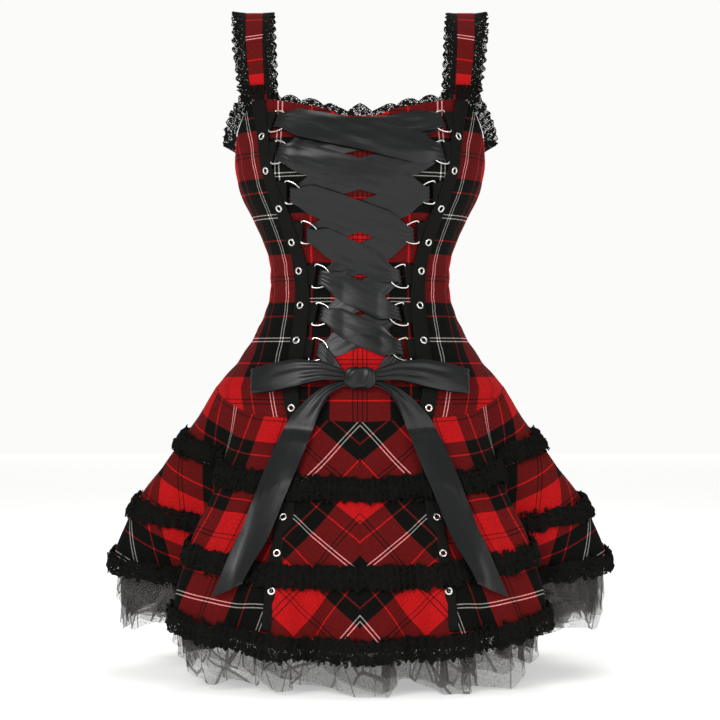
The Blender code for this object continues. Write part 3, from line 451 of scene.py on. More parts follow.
def addNode(tree, kind, links=None, **settings):
    made = tree.nodes.new(kind)
    for key, value in settings.items():
        setattr(made, key, value)
    for key, value in (links or {}).items():
        if isinstance(value, bpy.types.NodeSocket):
            tree.links.new(value, made.inputs[key])
        else:
            made.inputs[key].default_value = value
    return made


def newMaterial(name, code, roughness, metallic=0.0, specular=0.5):
    material = bpy.data.materials.new(name)
    material.use_nodes = True
    shader = material.node_tree.nodes["Principled BSDF"]
    shader.inputs["Base Color"].default_value = linear(code)
    shader.inputs["Roughness"].default_value = roughness
    shader.inputs["Metallic"].default_value = metallic
    shader.inputs["Specular IOR Level"].default_value = specular
    return material, material.node_tree, shader


def maths(tree, operation, *values):
    made = addNode(tree, "ShaderNodeMath", operation=operation)
    for place, value in enumerate(values):
        if isinstance(value, bpy.types.NodeSocket):
            tree.links.new(value, made.inputs[place])
        else:
            made.inputs[place].default_value = value
    return made.outputs[0]


def clothPlace(tree):
    return addNode(tree, "ShaderNodeUVMap", uv_map="cloth").outputs["UV"]


def axesOf(tree, where):
    axes = addNode(tree, "ShaderNodeSeparateXYZ", {"Vector": where})
    return axes.outputs["X"], axes.outputs["Y"]


def pulled(tree, where, along, across):
    links = {"Vector": where, "Scale": (along, across, 1.0)}
    return addNode(tree, "ShaderNodeMapping", links).outputs["Vector"]


def noise(tree, where, scale, detail):
    links = {"Vector": where, "Scale": scale, "Detail": detail}
    return addNode(tree, "ShaderNodeTexNoise", links).outputs["Fac"]


def cells(tree, where, scale, feature="DISTANCE_TO_EDGE"):
    links = {"Vector": where, "Scale": scale}
    return addNode(tree, "ShaderNodeTexVoronoi", links, feature=feature).outputs


def addBump(tree, shader, height, distance, strength):
    links = {"Height": height, "Distance": distance, "Strength": strength}
    bump = addNode(tree, "ShaderNodeBump", links)
    tree.links.new(bump.outputs["Normal"], shader.inputs["Normal"])


# The check's repeat and twill in metres; its stripes in millimetres from the middle of its
# red zone: start, thread
tartan = {
    "repeat": 0.162,
    "twill": 0.0017,
    "gamma": 2.45,
    "threads": {"red": "ab1b1e", "black": "10120d", "white": "fbf6f0"},
    "stripes": (
        (0, "red"), (2.5, "black"), (3.5, "red"), (32, "black"), (49.2, "red"), (50.8, "black"),
        (77.9, "white"), (79.4, "black"), (82.6, "white"), (84.1, "black"), (111.2, "red"),
        (112.8, "black"), (130, "red"), (158.5, "black"), (159.5, "red"),
    ),
}


def stripes(tree, distance):
    share = maths(tree, "WRAP", maths(tree, "DIVIDE", distance, tartan["repeat"]), 1.0, 0.0)
    ramp = addNode(tree, "ShaderNodeValToRGB", {"Fac": share})
    ramp.color_ramp.interpolation = "CONSTANT"
    marks = ramp.color_ramp.elements
    marks.remove(marks[1])
    for place, (start, thread) in enumerate(tartan["stripes"]):
        mark = marks[0] if place == 0 else marks.new(start / (tartan["repeat"] * 1000))
        mark.color = (*rgb(tartan["threads"][thread]), 1)
    return ramp.outputs["Color"]


def tartanMaterial():
    material, tree, shader = newMaterial("tartan cloth", "7a1517", 0.9, specular=0.12)
    where = clothPlace(tree)
    u, v = axesOf(tree, where)
    slope = maths(tree, "MULTIPLY", maths(tree, "ADD", u, v), math.tau / tartan["twill"])
    twill = maths(tree, "SINE", slope)
    fine = noise(tree, where, 420.0, 2.0)
    mixed = addNode(tree, "ShaderNodeMixRGB", {
        "Fac": maths(tree, "MULTIPLY_ADD", twill, 0.16, 0.5),
        "Color1": stripes(tree, u), "Color2": stripes(tree, v),
    }).outputs["Color"]
    shaded = addNode(tree, "ShaderNodeMixRGB", {
        "Fac": 1.0, "Color1": mixed, "Color2": maths(tree, "MULTIPLY_ADD", fine, 0.5, 0.75),
    }, blend_type="MULTIPLY").outputs["Color"]
    real = addNode(tree, "ShaderNodeGamma", {"Color": shaded, "Gamma": tartan["gamma"]})
    tree.links.new(real.outputs["Color"], shader.inputs["Base Color"])
    addBump(tree, shader, maths(tree, "MULTIPLY_ADD", fine, 1.6, twill), 0.00006, 0.6)
    return material


def plainMaterial(name, code, roughness, ribs=None):
    material, tree, shader = newMaterial(name, code, roughness, specular=0.12)
    where = clothPlace(tree)
    height = noise(tree, where, 600.0, 2.0)
    if ribs:
        down = maths(tree, "MULTIPLY", axesOf(tree, where)[1], math.tau / ribs)
        height = maths(tree, "ADD", height, maths(tree, "SINE", down))
    addBump(tree, shader, height, 0.0001, 0.7)
    return material


# Satin: a dark tone and a lighter painted sheen tone, then how tightly the thread streaks (partly
# painted sheen) and the creases follow each other along and across
satinSpec = {
    "tones": ("0b0c0b", "17181a"), "threads": (14.0, 330.0), "creases": (38.0, 95.0),
    "anisotropy": 0.5, "relief": 0.00035,
}


def satinMaterial():
    material, tree, shader = newMaterial("satin ribbon", "151615", 0.34, specular=0.30)
    shader.inputs["Anisotropic"].default_value = satinSpec["anisotropy"]
    where = clothPlace(tree)
    slubAndSheen = noise(tree, pulled(tree, where, *satinSpec["threads"]), 1.0, 3.0)
    crease = noise(tree, pulled(tree, where, *satinSpec["creases"]), 1.0, 1.0)
    height = maths(tree, "MULTIPLY_ADD", crease, 3.0, slubAndSheen)
    addBump(tree, shader, height, satinSpec["relief"], 0.5)
    # Base colour runs in lengthwise streaks between the dark tone and a lighter, bluer one: partly
    # random thread tone, partly painted sheen
    tone = addNode(tree, "ShaderNodeValToRGB", {"Fac": slubAndSheen})
    for mark, code in zip(tone.color_ramp.elements, satinSpec["tones"]):
        mark.color = linear(code)
    tree.links.new(tone.outputs["Color"], shader.inputs["Base Color"])
    return material


def holed(tree, shader, shown):
    clear = addNode(tree, "ShaderNodeBsdfTransparent")
    links = {0: shown, 1: clear.outputs[0], 2: shader.outputs[0]}
    mix = addNode(tree, "ShaderNodeMixShader", links)
    tree.links.new(mix.outputs[0], tree.nodes["Material Output"].inputs["Surface"])


# Lace: mesh and motif sizes in metres, how much of a motif is solid
def laceMaterial(name, mesh, motif, solid):
    material, tree, shader = newMaterial(name, "0a0a07", 0.85, specular=0.1)
    where = clothPlace(tree)
    thread = maths(tree, "LESS_THAN", cells(tree, where, 1 / mesh)["Distance"], 0.17)
    leaf = cells(tree, where, 1 / motif, "F1")["Distance"]
    petal = maths(tree, "LESS_THAN", leaf, solid)
    addBump(tree, shader, maths(tree, "ADD", petal, leaf), 0.0002, 0.8)
    holed(tree, shader, maths(tree, "MAXIMUM", thread, petal))
    return material


# Net: cells a metre, thread and fold widths, facets along and across, and how much the
# cloth, its threads, facets and folds each cover
netLook = {
    "cells": 560.0, "thread": 0.1, "fold": 0.02, "facets": (34.0, 8.0), "cloth": 0.02,
    "covers": (0.2, 0.12, 0.4),
}


def netMaterial(name, code):
    material, tree, shader = newMaterial(name, code, 0.9, specular=0.1)
    where = clothPlace(tree)
    near = cells(tree, where, netLook["cells"])["Distance"]
    thread = maths(tree, "LESS_THAN", near, netLook["thread"])
    long = pulled(tree, where, *netLook["facets"])
    facet = cells(tree, long, 1.0, "F1")["Color"]
    fold = maths(tree, "LESS_THAN", cells(tree, long, 1.0)["Distance"], netLook["fold"])
    tone = addNode(tree, "ShaderNodeSeparateColor", {"Color": facet}).outputs["Red"]
    shown = netLook["cloth"]
    for part, covers in zip((thread, tone, fold), netLook["covers"]):
        shown = maths(tree, "MULTIPLY_ADD", part, covers, shown)
    holed(tree, shader, shown)
    return material


tartanCloth = tartanMaterial()
lining = plainMaterial("black lining", "171612", 0.8)
tapeCloth = plainMaterial("black ribbed tape", "0b0b08", 0.8, ribs=0.0016)
satin = satinMaterial()
edgeLace = laceMaterial("galloon lace", 0.0018, 0.0048, 0.46)
trimLace = laceMaterial("ruched lace", 0.0022, 0.0040, 0.62)
netCloth = netMaterial("soft net", "5a5856")
metal = newMaterial("polished nickel", "d2d2cf", 0.2, metallic=1.0)[0]
thread = plainMaterial("black thread", "1b1a15", 0.7)

# Bodice and skirt panels: edges in degrees, seam dip, folds of the worn cloth
clothSpec = {
    "thick": 0.0012, "seamDip": 0.0008, "seamReach": 0.0022, "pucker": 0.0004,
    "puckerPitch": 0.017, "puckerReach": 0.009, "rows": 76,
}
# Creases on the bodice: depth, z, reach, waves down and round, shift, first angle
bodiceCreases = (
    (0.0006, -0.352, 0.045, 290, 0.22, 0.0, 36),
    (0.0007, -0.440, 0.050, 210, -0.16, 1.0, -20),
    (0.0006, -0.200, 0.050, 150, 0.21, 0.0, -20),
)
# Creases on the skirt: depth, waves round and down, shift; then the short buckles
skirtCreases = ((0.0030, 23, 0.0, 0.7), (0.0018, 41, 1.5, 0.0))
skirtBuckle = {"depth": 0.0010, "down": 21, "around": 9}


def wornCrease(base, angle, along):
    side = folded(angle)
    if base is bodiceAt:
        z = bodiceAt(angle, along)[..., 2]
        return sum(
            depth * np.exp(-(((z - centre) / reach) ** 2))
            * np.sin(z * down + side * around + shift) * np.clip((side - first) / 20, 0, 1)
            for depth, centre, reach, down, around, shift, first in bodiceCreases
        )
    turn = np.radians(side)
    long = sum(
        depth * np.sin(turn * around + along * down + shift)
        for depth, around, down, shift in skirtCreases
    )
    wave = np.sin(along * skirtBuckle["down"] + turn * skirtBuckle["around"])
    buckle = skirtBuckle["depth"] * wave * np.sin(np.pi * np.clip(along, 0, 1))
    return np.clip(along, 0, 1) ** 1.3 * long + buckle


def panelGrid(base, left, right, columns):
    along = np.linspace(0, 1, clothSpec["rows"])[:, None]
    share = np.linspace(0, 1, columns)[None, :]
    angle = left(along) + share * (right(along) - left(along))
    flat = base(angle, along)
    across = np.linalg.norm(np.diff(flat, axis=1), axis=2)
    u = np.concatenate([np.zeros((len(flat), 1)), np.cumsum(across, axis=1)], axis=1)
    down = np.linalg.norm(np.diff(flat, axis=0), axis=2)
    v = np.concatenate([np.zeros((1, columns)), np.cumsum(down, axis=0)], axis=0)
    near = np.minimum(u, u[:, -1:] - u)
    dip = clothSpec["seamDip"] * np.exp(-((near / clothSpec["seamReach"]) ** 2))
    pucker = clothSpec["pucker"] * np.exp(-near / clothSpec["puckerReach"])
    pucker = pucker * np.sin(v * math.tau / clothSpec["puckerPitch"])
    lift = wornCrease(base, angle, along) - dip + pucker
    return raised(base, angle, along + 0 * angle, lift), angle, u, v


def tapeLine(along):
    return curve(tapeOnBodice, along)


def skirtTapeLine(along):
    return curve(tapeOnSkirt, along)


def fixed(value):
    return lambda along: value + 0 * along


# How the check lies: heights of its red zone, shifts across each panel, the bias of the
# skirt front, the grain of the others in degrees, and the wider check of the bodice front
checkSpec = {
    "redZ": -0.346, "frontRedZ": -0.296, "weft": 1.038, "sideFront": 0.027, "side": 0.020,
    "back": 0.0056, "bias": 40, "biasDrop": 0.153, "drop": 0.164, "sideGrain": (29, 39),
    "backGrain": 150.0, "flat": 0.0376, "zone": 0.032, "wider": 1.46,
}


def bodiceMarks(points, u, redZ=checkSpec["redZ"]):
    return pair(u, (points[..., 2] - redZ) * -checkSpec["weft"])


def checkOn(name, points, angle, u, v):
    half = tartan["repeat"] / 2
    if name == "bodice_side_front":
        return bodiceMarks(points, u - checkSpec["sideFront"] + half)
    if name == "bodice_side":
        return bodiceMarks(points, u - checkSpec["side"])
    if name == "bodice_back":
        return bodiceMarks(points, u[:, -1:] - u - checkSpec["back"])
    if name == "skirt_front":
        tilt = math.radians(checkSpec["bias"])
        first = v * math.sin(tilt) - u * math.cos(tilt) + half
        second = v * math.cos(tilt) + u * math.sin(tilt) - checkSpec["biasDrop"] + half
        return pair(first, second)
    if name == "skirt_side_front":
        grain = np.linspace(*checkSpec["sideGrain"], len(u))
    else:
        grain = np.full(len(u), checkSpec["backGrain"])
    line = np.array([np.interp(g, a, r) for g, a, r in zip(grain, angle, u)])
    return pair(u - line[:, None], v - checkSpec["drop"])


# Panels: name, surface, columns, edges
def clothPanels():
    cloths = [tartanCloth, lining]
    for name, base, columns, left, right in (
        ("bodice_side_front", bodiceAt, 58, tapeLine, fixed(sideSeam)),
        ("bodice_side", bodiceAt, 44, fixed(sideSeam), fixed(backSeam)),
        ("bodice_back", bodiceAt, 50, fixed(backSeam), fixed(180.0)),
        ("skirt_front", skirtAt, 50, fixed(0.0), skirtTapeLine),
        ("skirt_side_front", skirtAt, 136, skirtTapeLine, fixed(skirtSideSeam)),
        ("skirt_back", skirtAt, 140, fixed(skirtSideSeam), fixed(180.0)),
    ):
        points, angle, u, v = panelGrid(base, left, right, columns)
        marks = checkOn(name, points, angle, u, v)
        sewBoth(name, "cloth", points, marks, clothSpec["thick"], cloths)
    columns = 97
    points, _, u, _ = panelGrid(bodiceAt, lambda along: -tapeLine(along), tapeLine, columns)
    reach = np.abs(u - u[:, columns // 2][:, None])
    outer = checkSpec["zone"] + (reach - checkSpec["flat"]) / checkSpec["wider"]
    warp = np.where(reach > checkSpec["flat"], outer, reach - checkSpec["back"])
    marks = bodiceMarks(points, warp, checkSpec["frontRedZ"])
    made = shell("bodice_front_cloth", points, clothSpec["thick"], marks, cloths)
    sew(made, ["bodice_front"])


clothPanels()
print("panels sewn")

# Strap: width, crown as a share of the length, where the red zone ends from the crown
strapSpec = {
    "width": 0.0240, "thick": 0.0016, "crown": 0.485, "redEnds": 0.020, "warp": 0.020,
    "zone": 0.032, "rolled": 0.0005,
}


def strapAt(share):
    share = np.asarray(share, float)
    here, ahead, behind = (
        vector(*(curve(strapRows, share + shift, n) for n in (1, 2, 3)))
        for shift in (0, 0.01, -0.01)
    )
    along = unit(ahead - behind)
    side = vector(curve(strapRows, share, 4), curve(strapRows, share, 5), 0 * share)
    side = unit(side - along * (along * side).sum(-1, keepdims=True))
    return here, along, side


def straps():
    share = np.linspace(0, 1, 140)
    here, along, side = strapAt(share)
    out = unit(np.cross(side, along))
    across = np.linspace(-0.5, 0.5, 17)
    edge = np.exp(-(((0.5 - np.abs(across)) / 0.05) ** 2))
    grid = here[:, None] + side[:, None] * (across * strapSpec["width"])[None, :, None]
    grid = grid - out[:, None] * (strapSpec["rolled"] * edge)[None, :, None]
    length = runOf(here)
    crown = np.interp(strapSpec["crown"], share, length)
    v = np.abs(length - crown) - strapSpec["redEnds"] + strapSpec["zone"]
    marks = pair((across * strapSpec["width"] + strapSpec["warp"])[None, :], v[:, None])
    cloths = [tartanCloth, lining]
    sewBoth("strap", "cloth", grid[::-1], marks[::-1], strapSpec["thick"], cloths)


straps()

# Lace bands: step along, gathers, scallops
laceSpec = {
    "step": 0.0012, "smooth": 0.004, "wave": 0.0023, "wavePitch": 0.0105,
    "scallop": 0.0034, "scallopPitch": 0.0125, "thick": 0.0005, "rows": 9,
}


def laceBand(name, nodes, roots, closed, wave=1.0):
    rows, at = resample(roots, laceSpec["step"], laceSpec["smooth"], closed)
    root, stand, width = rows[:, :3], unit(rows[:, 3:6]), rows[:, 6]
    if closed:
        along = np.gradient(np.vstack([root[-2], root, root[1]]), axis=0)[1:-1]
    else:
        along = np.gradient(root, axis=0)
    face = unit(np.cross(along, stand))
    waves = round(at[-1] / laceSpec["wavePitch"])
    scallops = round(at[-1] / laceSpec["scallopPitch"])
    share = at / at[-1]
    gather = np.sin(math.tau * waves * share + 0.6 * wander(len(at), 22, closed))
    tip = width - laceSpec["scallop"] * (1 - np.abs(np.sin(math.pi * scallops * share)))
    v = np.linspace(0, 1, laceSpec["rows"])
    high = v[:, None] * tip[None]
    swing = (laceSpec["wave"] * wave * v**1.3)[:, None] * gather[None]
    grid = root[None] + stand[None] * high[..., None] + face[None] * swing[..., None]
    marks = pair(at[None, :] * 1.3, high)
    made = shell(name, grid[::-1], laceSpec["thick"], marks[::-1], [edgeLace], closed)
    sew(made, nodes)


def rooted(share, sign, width):
    here, _, side = strapAt(share)
    place = here + sign * side * (strapSpec["width"] / 2 - 0.001)
    return np.hstack([place, sign * side, np.full((len(share), 1), width)])


def laceEdges():
    angle = np.linspace(61, 122, 40)
    out = unit(outwardOf(bodiceAt, angle, 0.02 + 0 * angle) * (1, 1, 0))
    place = bodiceAt(angle, 0.004 + 0 * angle) + out * 0.0010
    stand = unit(out * 0.8 + np.array((0, 0, 0.6)))
    under = np.hstack([place, stand, np.full((len(angle), 1), 0.0195)])
    outer = np.vstack([
        rooted(np.linspace(0.485, 0.055, 30), 1, 0.0185), under,
        rooted(np.linspace(0.985, 0.50, 30), 1, 0.0185),
    ])
    inner = rooted(np.linspace(0.02, 0.98, 60), -1, 0.0145)
    mirror = np.array((-1, 1, 1, -1, 1, 1, 1))
    for letter, way in (("l", 1), ("r", mirror)):
        laceBand(f"armhole_lace_{letter}_frill", [f"armhole_lace_{letter}"], outer * way, True)
        laceBand(f"strap_lace_{letter}_edge", [f"strap_lace_{letter}"], inner * way, False, 0.35)


laceEdges()

# Neck lace: how high it stands over the neckline
neckSpec = {"stand": 0.0040, "scallop": 0.0062, "peak": 0.0074, "behind": 0.0024, "reach": 46.0}


def neckLace():
    angle = np.linspace(-neckSpec["reach"], neckSpec["reach"], 340)
    edge = curve(topEdge, folded(angle))
    scallop = neckSpec["scallop"] * np.abs(np.sin(np.pi * (angle / 11.2 + 0.5))) ** 0.8
    peak = neckSpec["peak"] * np.exp(-np.abs(angle / 4.5) ** 1.3)
    top = edge + neckSpec["stand"] + scallop + peak
    share = np.linspace(0, 1, 12)[:, None]
    z = top[None] + share * (edge - 0.010 - top)[None]
    across = body(angle + 0.5, z) - body(angle - 0.5, z)
    out = unit(np.cross(across, (0, 0, 1)))
    lean = neckSpec["behind"] + 0.0007 * np.sin(angle * 1.9)[None] * (1 - share)
    grid = body(angle + 0 * z, z) - out * lean[..., None]
    marks = pair(np.radians(angle)[None] * 0.13, z)
    made = shell("neck_lace_edge", grid, 0.0006, marks, [edgeLace])
    sew(made, ["neck_lace"])


neckLace()


# Lace gathered over each strap's foot: half width, pitch of the gathers, heights
footSpec = {
    "half": 0.0125, "pitch": 0.0042, "wave": 0.0011, "lift": 0.0026, "from": 0.062, "thick": 0.0006,
}


def strapBaseLace():
    across = np.linspace(-footSpec["half"], footSpec["half"], 90)
    share = np.linspace(footSpec["from"], 0.0, 10)
    here, along, side = strapAt(share)
    out = unit(np.cross(side, along))
    gather = footSpec["wave"] * np.sin(across * math.tau / footSpec["pitch"])
    lift = footSpec["lift"] + gather[None] * np.linspace(1.0, 0.45, 10)[:, None]
    grid = here[:, None] + side[:, None] * across[None, :, None] + out[:, None] * lift[..., None]
    marks = pair(across[None] * 1.6, share[:, None] * 0.25)
    thick = footSpec["thick"]
    sewBoth("strap_base_lace", "gather", grid, marks, thick, [trimLace])


strapBaseLace()
print("lace edges sewn")

# Eyelet tapes: sizes, and the places of the eyelets down the bodice and the skirt
tapeSpec = {
    "width": 0.021, "thick": 0.0010, "end": 1.93, "offset": 0.002, "ripple": 0.00025,
    "hole": 0.0027, "above": 0.003, "below": 0.0025, "corners": 28,
    "places": (
        0.125, 0.230, 0.345, 0.450, 0.540, 0.650, 0.760, 0.870, 0.968,
        1.120, 1.280, 1.440, 1.595, 1.757,
    ),
    # An eyelet's section: distance from its middle, height
    "eyelet": (
        (0.0050, -0.0001), (0.00492, 0.00035), (0.0045, 0.00075), (0.0039, 0.00098),
        (0.0033, 0.00092), (0.0028, 0.0006), (0.0026, 0.0001), (0.0026, -0.0012),
    ),
}


def eyeletModel():
    sides, profile = 40, np.array(tapeSpec["eyelet"])
    turn = np.arange(sides) * math.tau / sides
    ring = np.stack([np.cos(turn), np.sin(turn), 0 * turn], -1)
    points = profile[:, None, 0:1] * ring[None] + profile[:, None, 1:2] * np.array((0, 0, 1))
    index = np.arange(len(profile) * sides).reshape(-1, sides)
    nextOne = np.roll(index, -1, axis=1)
    faces = np.stack([index[:-1], nextOne[:-1], nextOne[1:], index[1:]], -1).reshape(-1, 4)
    return makeMesh("eyelet model", points.reshape(-1, 3), faces, [metal])


def frameAt(place, across, lift, mirror):
    here = tapeAt(place, across, lift)
    right = unit(tapeAt(place, across + 0.001, lift) - here)
    up = unit(tapeAt(place - 0.004, across, lift) - tapeAt(place + 0.004, across, lift))
    out = unit(np.cross(right, up))
    up = unit(np.cross(out, right))
    if mirror < 0:
        here, up, out = (value * (-1, 1, 1) for value in (here, up, out))
        right = right * (1, -1, -1)
    return here, right, up, out


def holeCutter(frames):
    count = tapeSpec["corners"]
    turn = np.arange(count) * math.tau / count
    circle = np.stack([np.cos(turn), np.sin(turn)], -1) * tapeSpec["hole"]
    vertices, faces = [], []
    for number, (here, right, up, out) in enumerate(frames):
        rim = here + circle[:, :1] * right + circle[:, 1:] * up
        vertices += [rim + out * tapeSpec["above"], rim - out * tapeSpec["below"]]
        top = [2 * count * number + n for n in range(count)]
        low = [count + n for n in top]
        faces += [top, low[::-1]]
        faces += [(top[n], top[n - 1], low[n - 1], low[n]) for n in (*range(1, count), 0)]
    return makeMesh("eyelet holes", np.vstack(vertices), faces, [tapeCloth])


def punch(band, cutter):
    weld = band.modifiers.new("weld", "WELD")
    weld.merge_threshold = 0.00001
    holes = band.modifiers.new("holes", "BOOLEAN")
    holes.operation = "DIFFERENCE"
    holes.solver = "MANIFOLD"
    holes.object = cutter
    seen = band.evaluated_get(bpy.context.evaluated_depsgraph_get())
    punched = bpy.data.meshes.new_from_object(seen)
    band.modifiers.clear()
    # An empty result would mean that the cut failed, and the plain band stays
    if len(punched.polygons) > 1000:
        band.data = punched
    bpy.data.objects.remove(cutter)


def tapes():
    thick, spots = tapeSpec["thick"], np.array(tapeSpec["places"])
    place = np.concatenate([np.linspace(0.004, 1, 260), np.linspace(1.004, tapeSpec["end"], 190)])
    across = np.linspace(-0.5, 0.5, 9) * tapeSpec["width"]
    seat = tapeSeat(place) + thick - 0.0002 + tapeSpec["ripple"] * np.sin(place * 61)
    grid = tapeAt(place[:, None], across[None], seat[:, None])
    marks = pair(across[None, :], runOf(grid[:, 4])[:, None])
    for letter, mirror in (("l", 1), ("r", -1)):
        cloth, uv = (grid, marks) if mirror > 0 else flip(grid, marks)
        made = shell(f"eyelet_tape_{letter}_band", cloth, thick, uv, [tapeCloth])
        frames = frameAt(spots, tapeSpec["offset"] + 0 * spots, tapeSeat(spots) + thick, mirror)
        punch(made, holeCutter(zip(*frames)))
        sew(made, [f"eyelet_tape_{letter}"])
        sizes = np.ones((len(spots), 3))
        turns = turned(*frames[1:])
        sew(repeat(f"eyelets_{letter}", eyeletModel(), frames[0], turns, sizes, metal))


tapes()
print("eyelet tapes sewn")


# D-rings and their tabs: row heights, wire, tab section as distance and height
ringSpec = {
    "z": (-0.1508, -0.1909, -0.2384, -0.2873, -0.3436, -0.3930, -0.4375),
    "bar": -0.0190, "lift": 0.0048, "width": 0.0230, "height": 0.0320, "wire": 0.0011,
    "tab": (
        (0.0125, 0.0012), (0.0100, 0.0020), (0.0060, 0.0042), (0.0025, 0.0066), (0.0, 0.0072),
        (-0.0020, 0.0066), (-0.0027, 0.0048), (-0.0020, 0.0030), (0.0, 0.0022), (0.0070, 0.0010),
    ),
    "tabHalf": 0.0122, "tabThick": 0.0006, "corner": 0.0025,
}


def ringFrame(row):
    drop = 0.5
    for _ in range(8):
        angle = beside(bodiceAt, tapeLine(drop), drop, ringSpec["bar"])
        side = folded(angle)
        top, seam = curve(topEdge, side), curve(waistSeam, side)
        drop = (ringSpec["z"][row] - top) / (seam - top)
    lift = ringSpec["lift"]
    bar = tapeAt(drop, ringSpec["bar"], lift)
    inward = unit(tapeAt(drop, ringSpec["bar"] - ringSpec["width"], lift) - bar)
    above = tapeAt(drop - 0.03, ringSpec["bar"], 0.0) - tapeAt(drop + 0.03, ringSpec["bar"], 0.0)
    outward = unit(np.cross(inward, above))
    outward = outward if np.dot(outward, bar * (1, 1, 0)) > 0 else -outward
    upward = unit(above - inward * np.dot(above, inward))
    return bar, inward, upward, outward, drop


def dRings():
    half = ringSpec["height"] / 2 - ringSpec["wire"]
    reach = ringSpec["width"] - ringSpec["wire"]
    turn = np.radians(np.linspace(-90, 90, 40))
    corner = ringSpec["corner"]
    arc = np.stack([corner + (reach - corner) * np.cos(turn), half * np.sin(turn)], -1)
    ends = half * np.array((0.98, 0.9))
    flat = np.vstack([(0.0006, -ends[0]), arc, (0.0006, ends[0]), (0, ends[1]), (0, -ends[1])])
    rows, _ = resample(np.hstack([flat, np.zeros((len(flat), 1))]), 0.0008, 0.0006, True)
    flat = rows[:-1]
    section, _ = resample(np.hstack([np.array(ringSpec["tab"]), np.zeros((10, 1))]), 0.0012, 0.0008)
    away, high = section[:, :1], section[:, 1:2]
    for letter, mirror in (("l", 1), ("r", -1)):
        wires, tabs = [], []
        for row in range(7):
            bar, inward, upward, outward, drop = ringFrame(row)
            path = bar + flat[:, :1] * inward + flat[:, 1:2] * upward
            wires.append(tube(path * (mirror, 1, 1), ringSpec["wire"]))
            width = np.linspace(-1, 1, 9)
            heights = drop + width * ringSpec["tabHalf"] / 0.40
            surface = tapeAt(heights[None], ringSpec["bar"] + away, high + 0 * heights[None])
            seat = tapeAt(heights, ringSpec["bar"] + 0 * heights, ringSpec["lift"] + 0 * heights)
            straight = bar - width[:, None] * upward * ringSpec["tabHalf"]
            keep = 1 - np.clip((away - 0.002) / 0.006, 0, 1)
            grid = surface + (straight - seat)[None] * keep[..., None]
            tabs.append((grid, pair(width[None] * 0.0125, away)))
        points, faces = joined(wires)
        made = makeMesh(f"d_rings_{letter}_wire", points, faces, [metal])
        sew(made, [f"d_ring_{letter}{row + 1}" for row in range(7)])
        for row, tab in enumerate(tabs, start=1):
            grid, marks = tab if mirror > 0 else flip(*tab)
            made = shell(f"ring_tab_{letter}{row}", grid, ringSpec["tabThick"], marks, [tapeCloth])
            sew(made, [f"ring_tabs_{letter}"])


dRings()
print("rings set")

# Lacing ribbon: heights of its layers over the cloth, half widths
ribbonSpec = {
    "low": 0.0020, "high": 0.0039, "top": 0.0058, "over": 0.0076, "half": 0.0190,
    "gathered": 0.0092, "topHalf": 0.0125, "topSag": 0.0095, "thick": 0.0006,
    "knotSide": (0.0225, -0.4690), "columns": 13, "step": 0.0018, "smooth": 0.0020,
}


def legRows(start, end, cruise, sagging=0.0):
    x0, z0, lift0, lean0 = start
    x1, z1, lift1, lean1 = end
    length = abs(x1 - x0)
    rows = []
    for reach in np.linspace(0, length, max(int(length / 0.004), 8)):
        share, fromEnds = reach / length, min(reach, length - reach)
        near = lift0 if share < 0.5 else lift1
        lift = near + (cruise - near) * min(max((fromEnds - 0.010) / 0.016, 0), 1)
        opened = min(max((fromEnds - 0.003) / 0.024, 0), 1)
        opened = opened * opened * (3 - 2 * opened)
        half = ribbonSpec["gathered"] + (ribbonSpec["half"] - ribbonSpec["gathered"]) * opened
        lean = (lean0 if share < 0.5 else lean1) * (1 - opened)
        half = min(half, ribbonSpec["topHalf"]) if sagging else half
        x = x0 + share * (x1 - x0)
        z = z0 + share * (z1 - z0) - sagging * math.sin(math.pi * share)
        rows.append((x, z, lift, half, lean, 1 - opened))
    return rows


def knotRows(side, ring, cruise, atRing):
    rows, (x0, z0) = [], ribbonSpec["knotSide"]
    for share in np.linspace(0, 1, 12):
        x, z = x0 + share * (ring[0] - x0), z0 + share * (ring[1] - z0)
        lift = cruise + (atRing - cruise) * min(max(4 * share - 1.5, 0), 1)
        half = 0.008 + 0.005 * math.sin(math.pi * share)
        rows.append((side * x, z, lift, half, side * ring[2] * share**4, 1.0))
    return rows


def turnRows(side, ring, liftFrom, liftTo):
    rows, radius = [], (liftTo - liftFrom) / 2
    for degrees in (30, 60, 90, 120, 150):
        angle = math.radians(degrees)
        x = ring[0] + abs(radius) * math.sin(angle)
        lift = liftFrom + radius * (1 - math.cos(angle))
        rows.append((side * x, ring[1], lift, ribbonSpec["gathered"], side * ring[2], 1.0))
    return rows


def lacingRows():
    low, high, top, over = (ribbonSpec[key] for key in ("low", "high", "top", "over"))
    rings = []
    for row in range(7):
        bar, inward, upward, _, _ = ringFrame(row)
        hole = bar + inward * 0.0115
        rings.append((hole[0], hole[2], upward[0] / upward[2]))
    path = knotRows(-1, rings[6], high, over) + turnRows(-1, rings[6], over, low)

    def cross(side, first, last, isLow):
        lifts = (low, low) if isLow else (over, over)
        cruise = low if isLow else high
        if not isLow and 0 in (first, last):
            cruise = top
        if first == last:
            lifts, cruise = (low, over), high
        x0, z0, lean0 = rings[first]
        x1, z1, lean1 = rings[last]
        start = (side * x0, z0, lifts[0], side * lean0)
        end = (-side * x1, z1, lifts[1], -side * lean1)
        leg = legRows(start, end, cruise, ribbonSpec["topSag"] if first == last else 0.0)
        return leg + turnRows(-side, rings[last], lifts[1], over if lifts[1] == low else low)

    for row in range(6, 0, -1):
        isLow = (6 - row) % 2 == 0
        path += cross(-1 if isLow else 1, row, row - 1, isLow)
    path += cross(-1, 0, 0, True)
    for row in range(6):
        isLow = row % 2 == 0
        path += cross(1 if isLow else -1, row, row + 1, isLow)
    return np.array(path + knotRows(1, rings[6], low, low)[::-1])


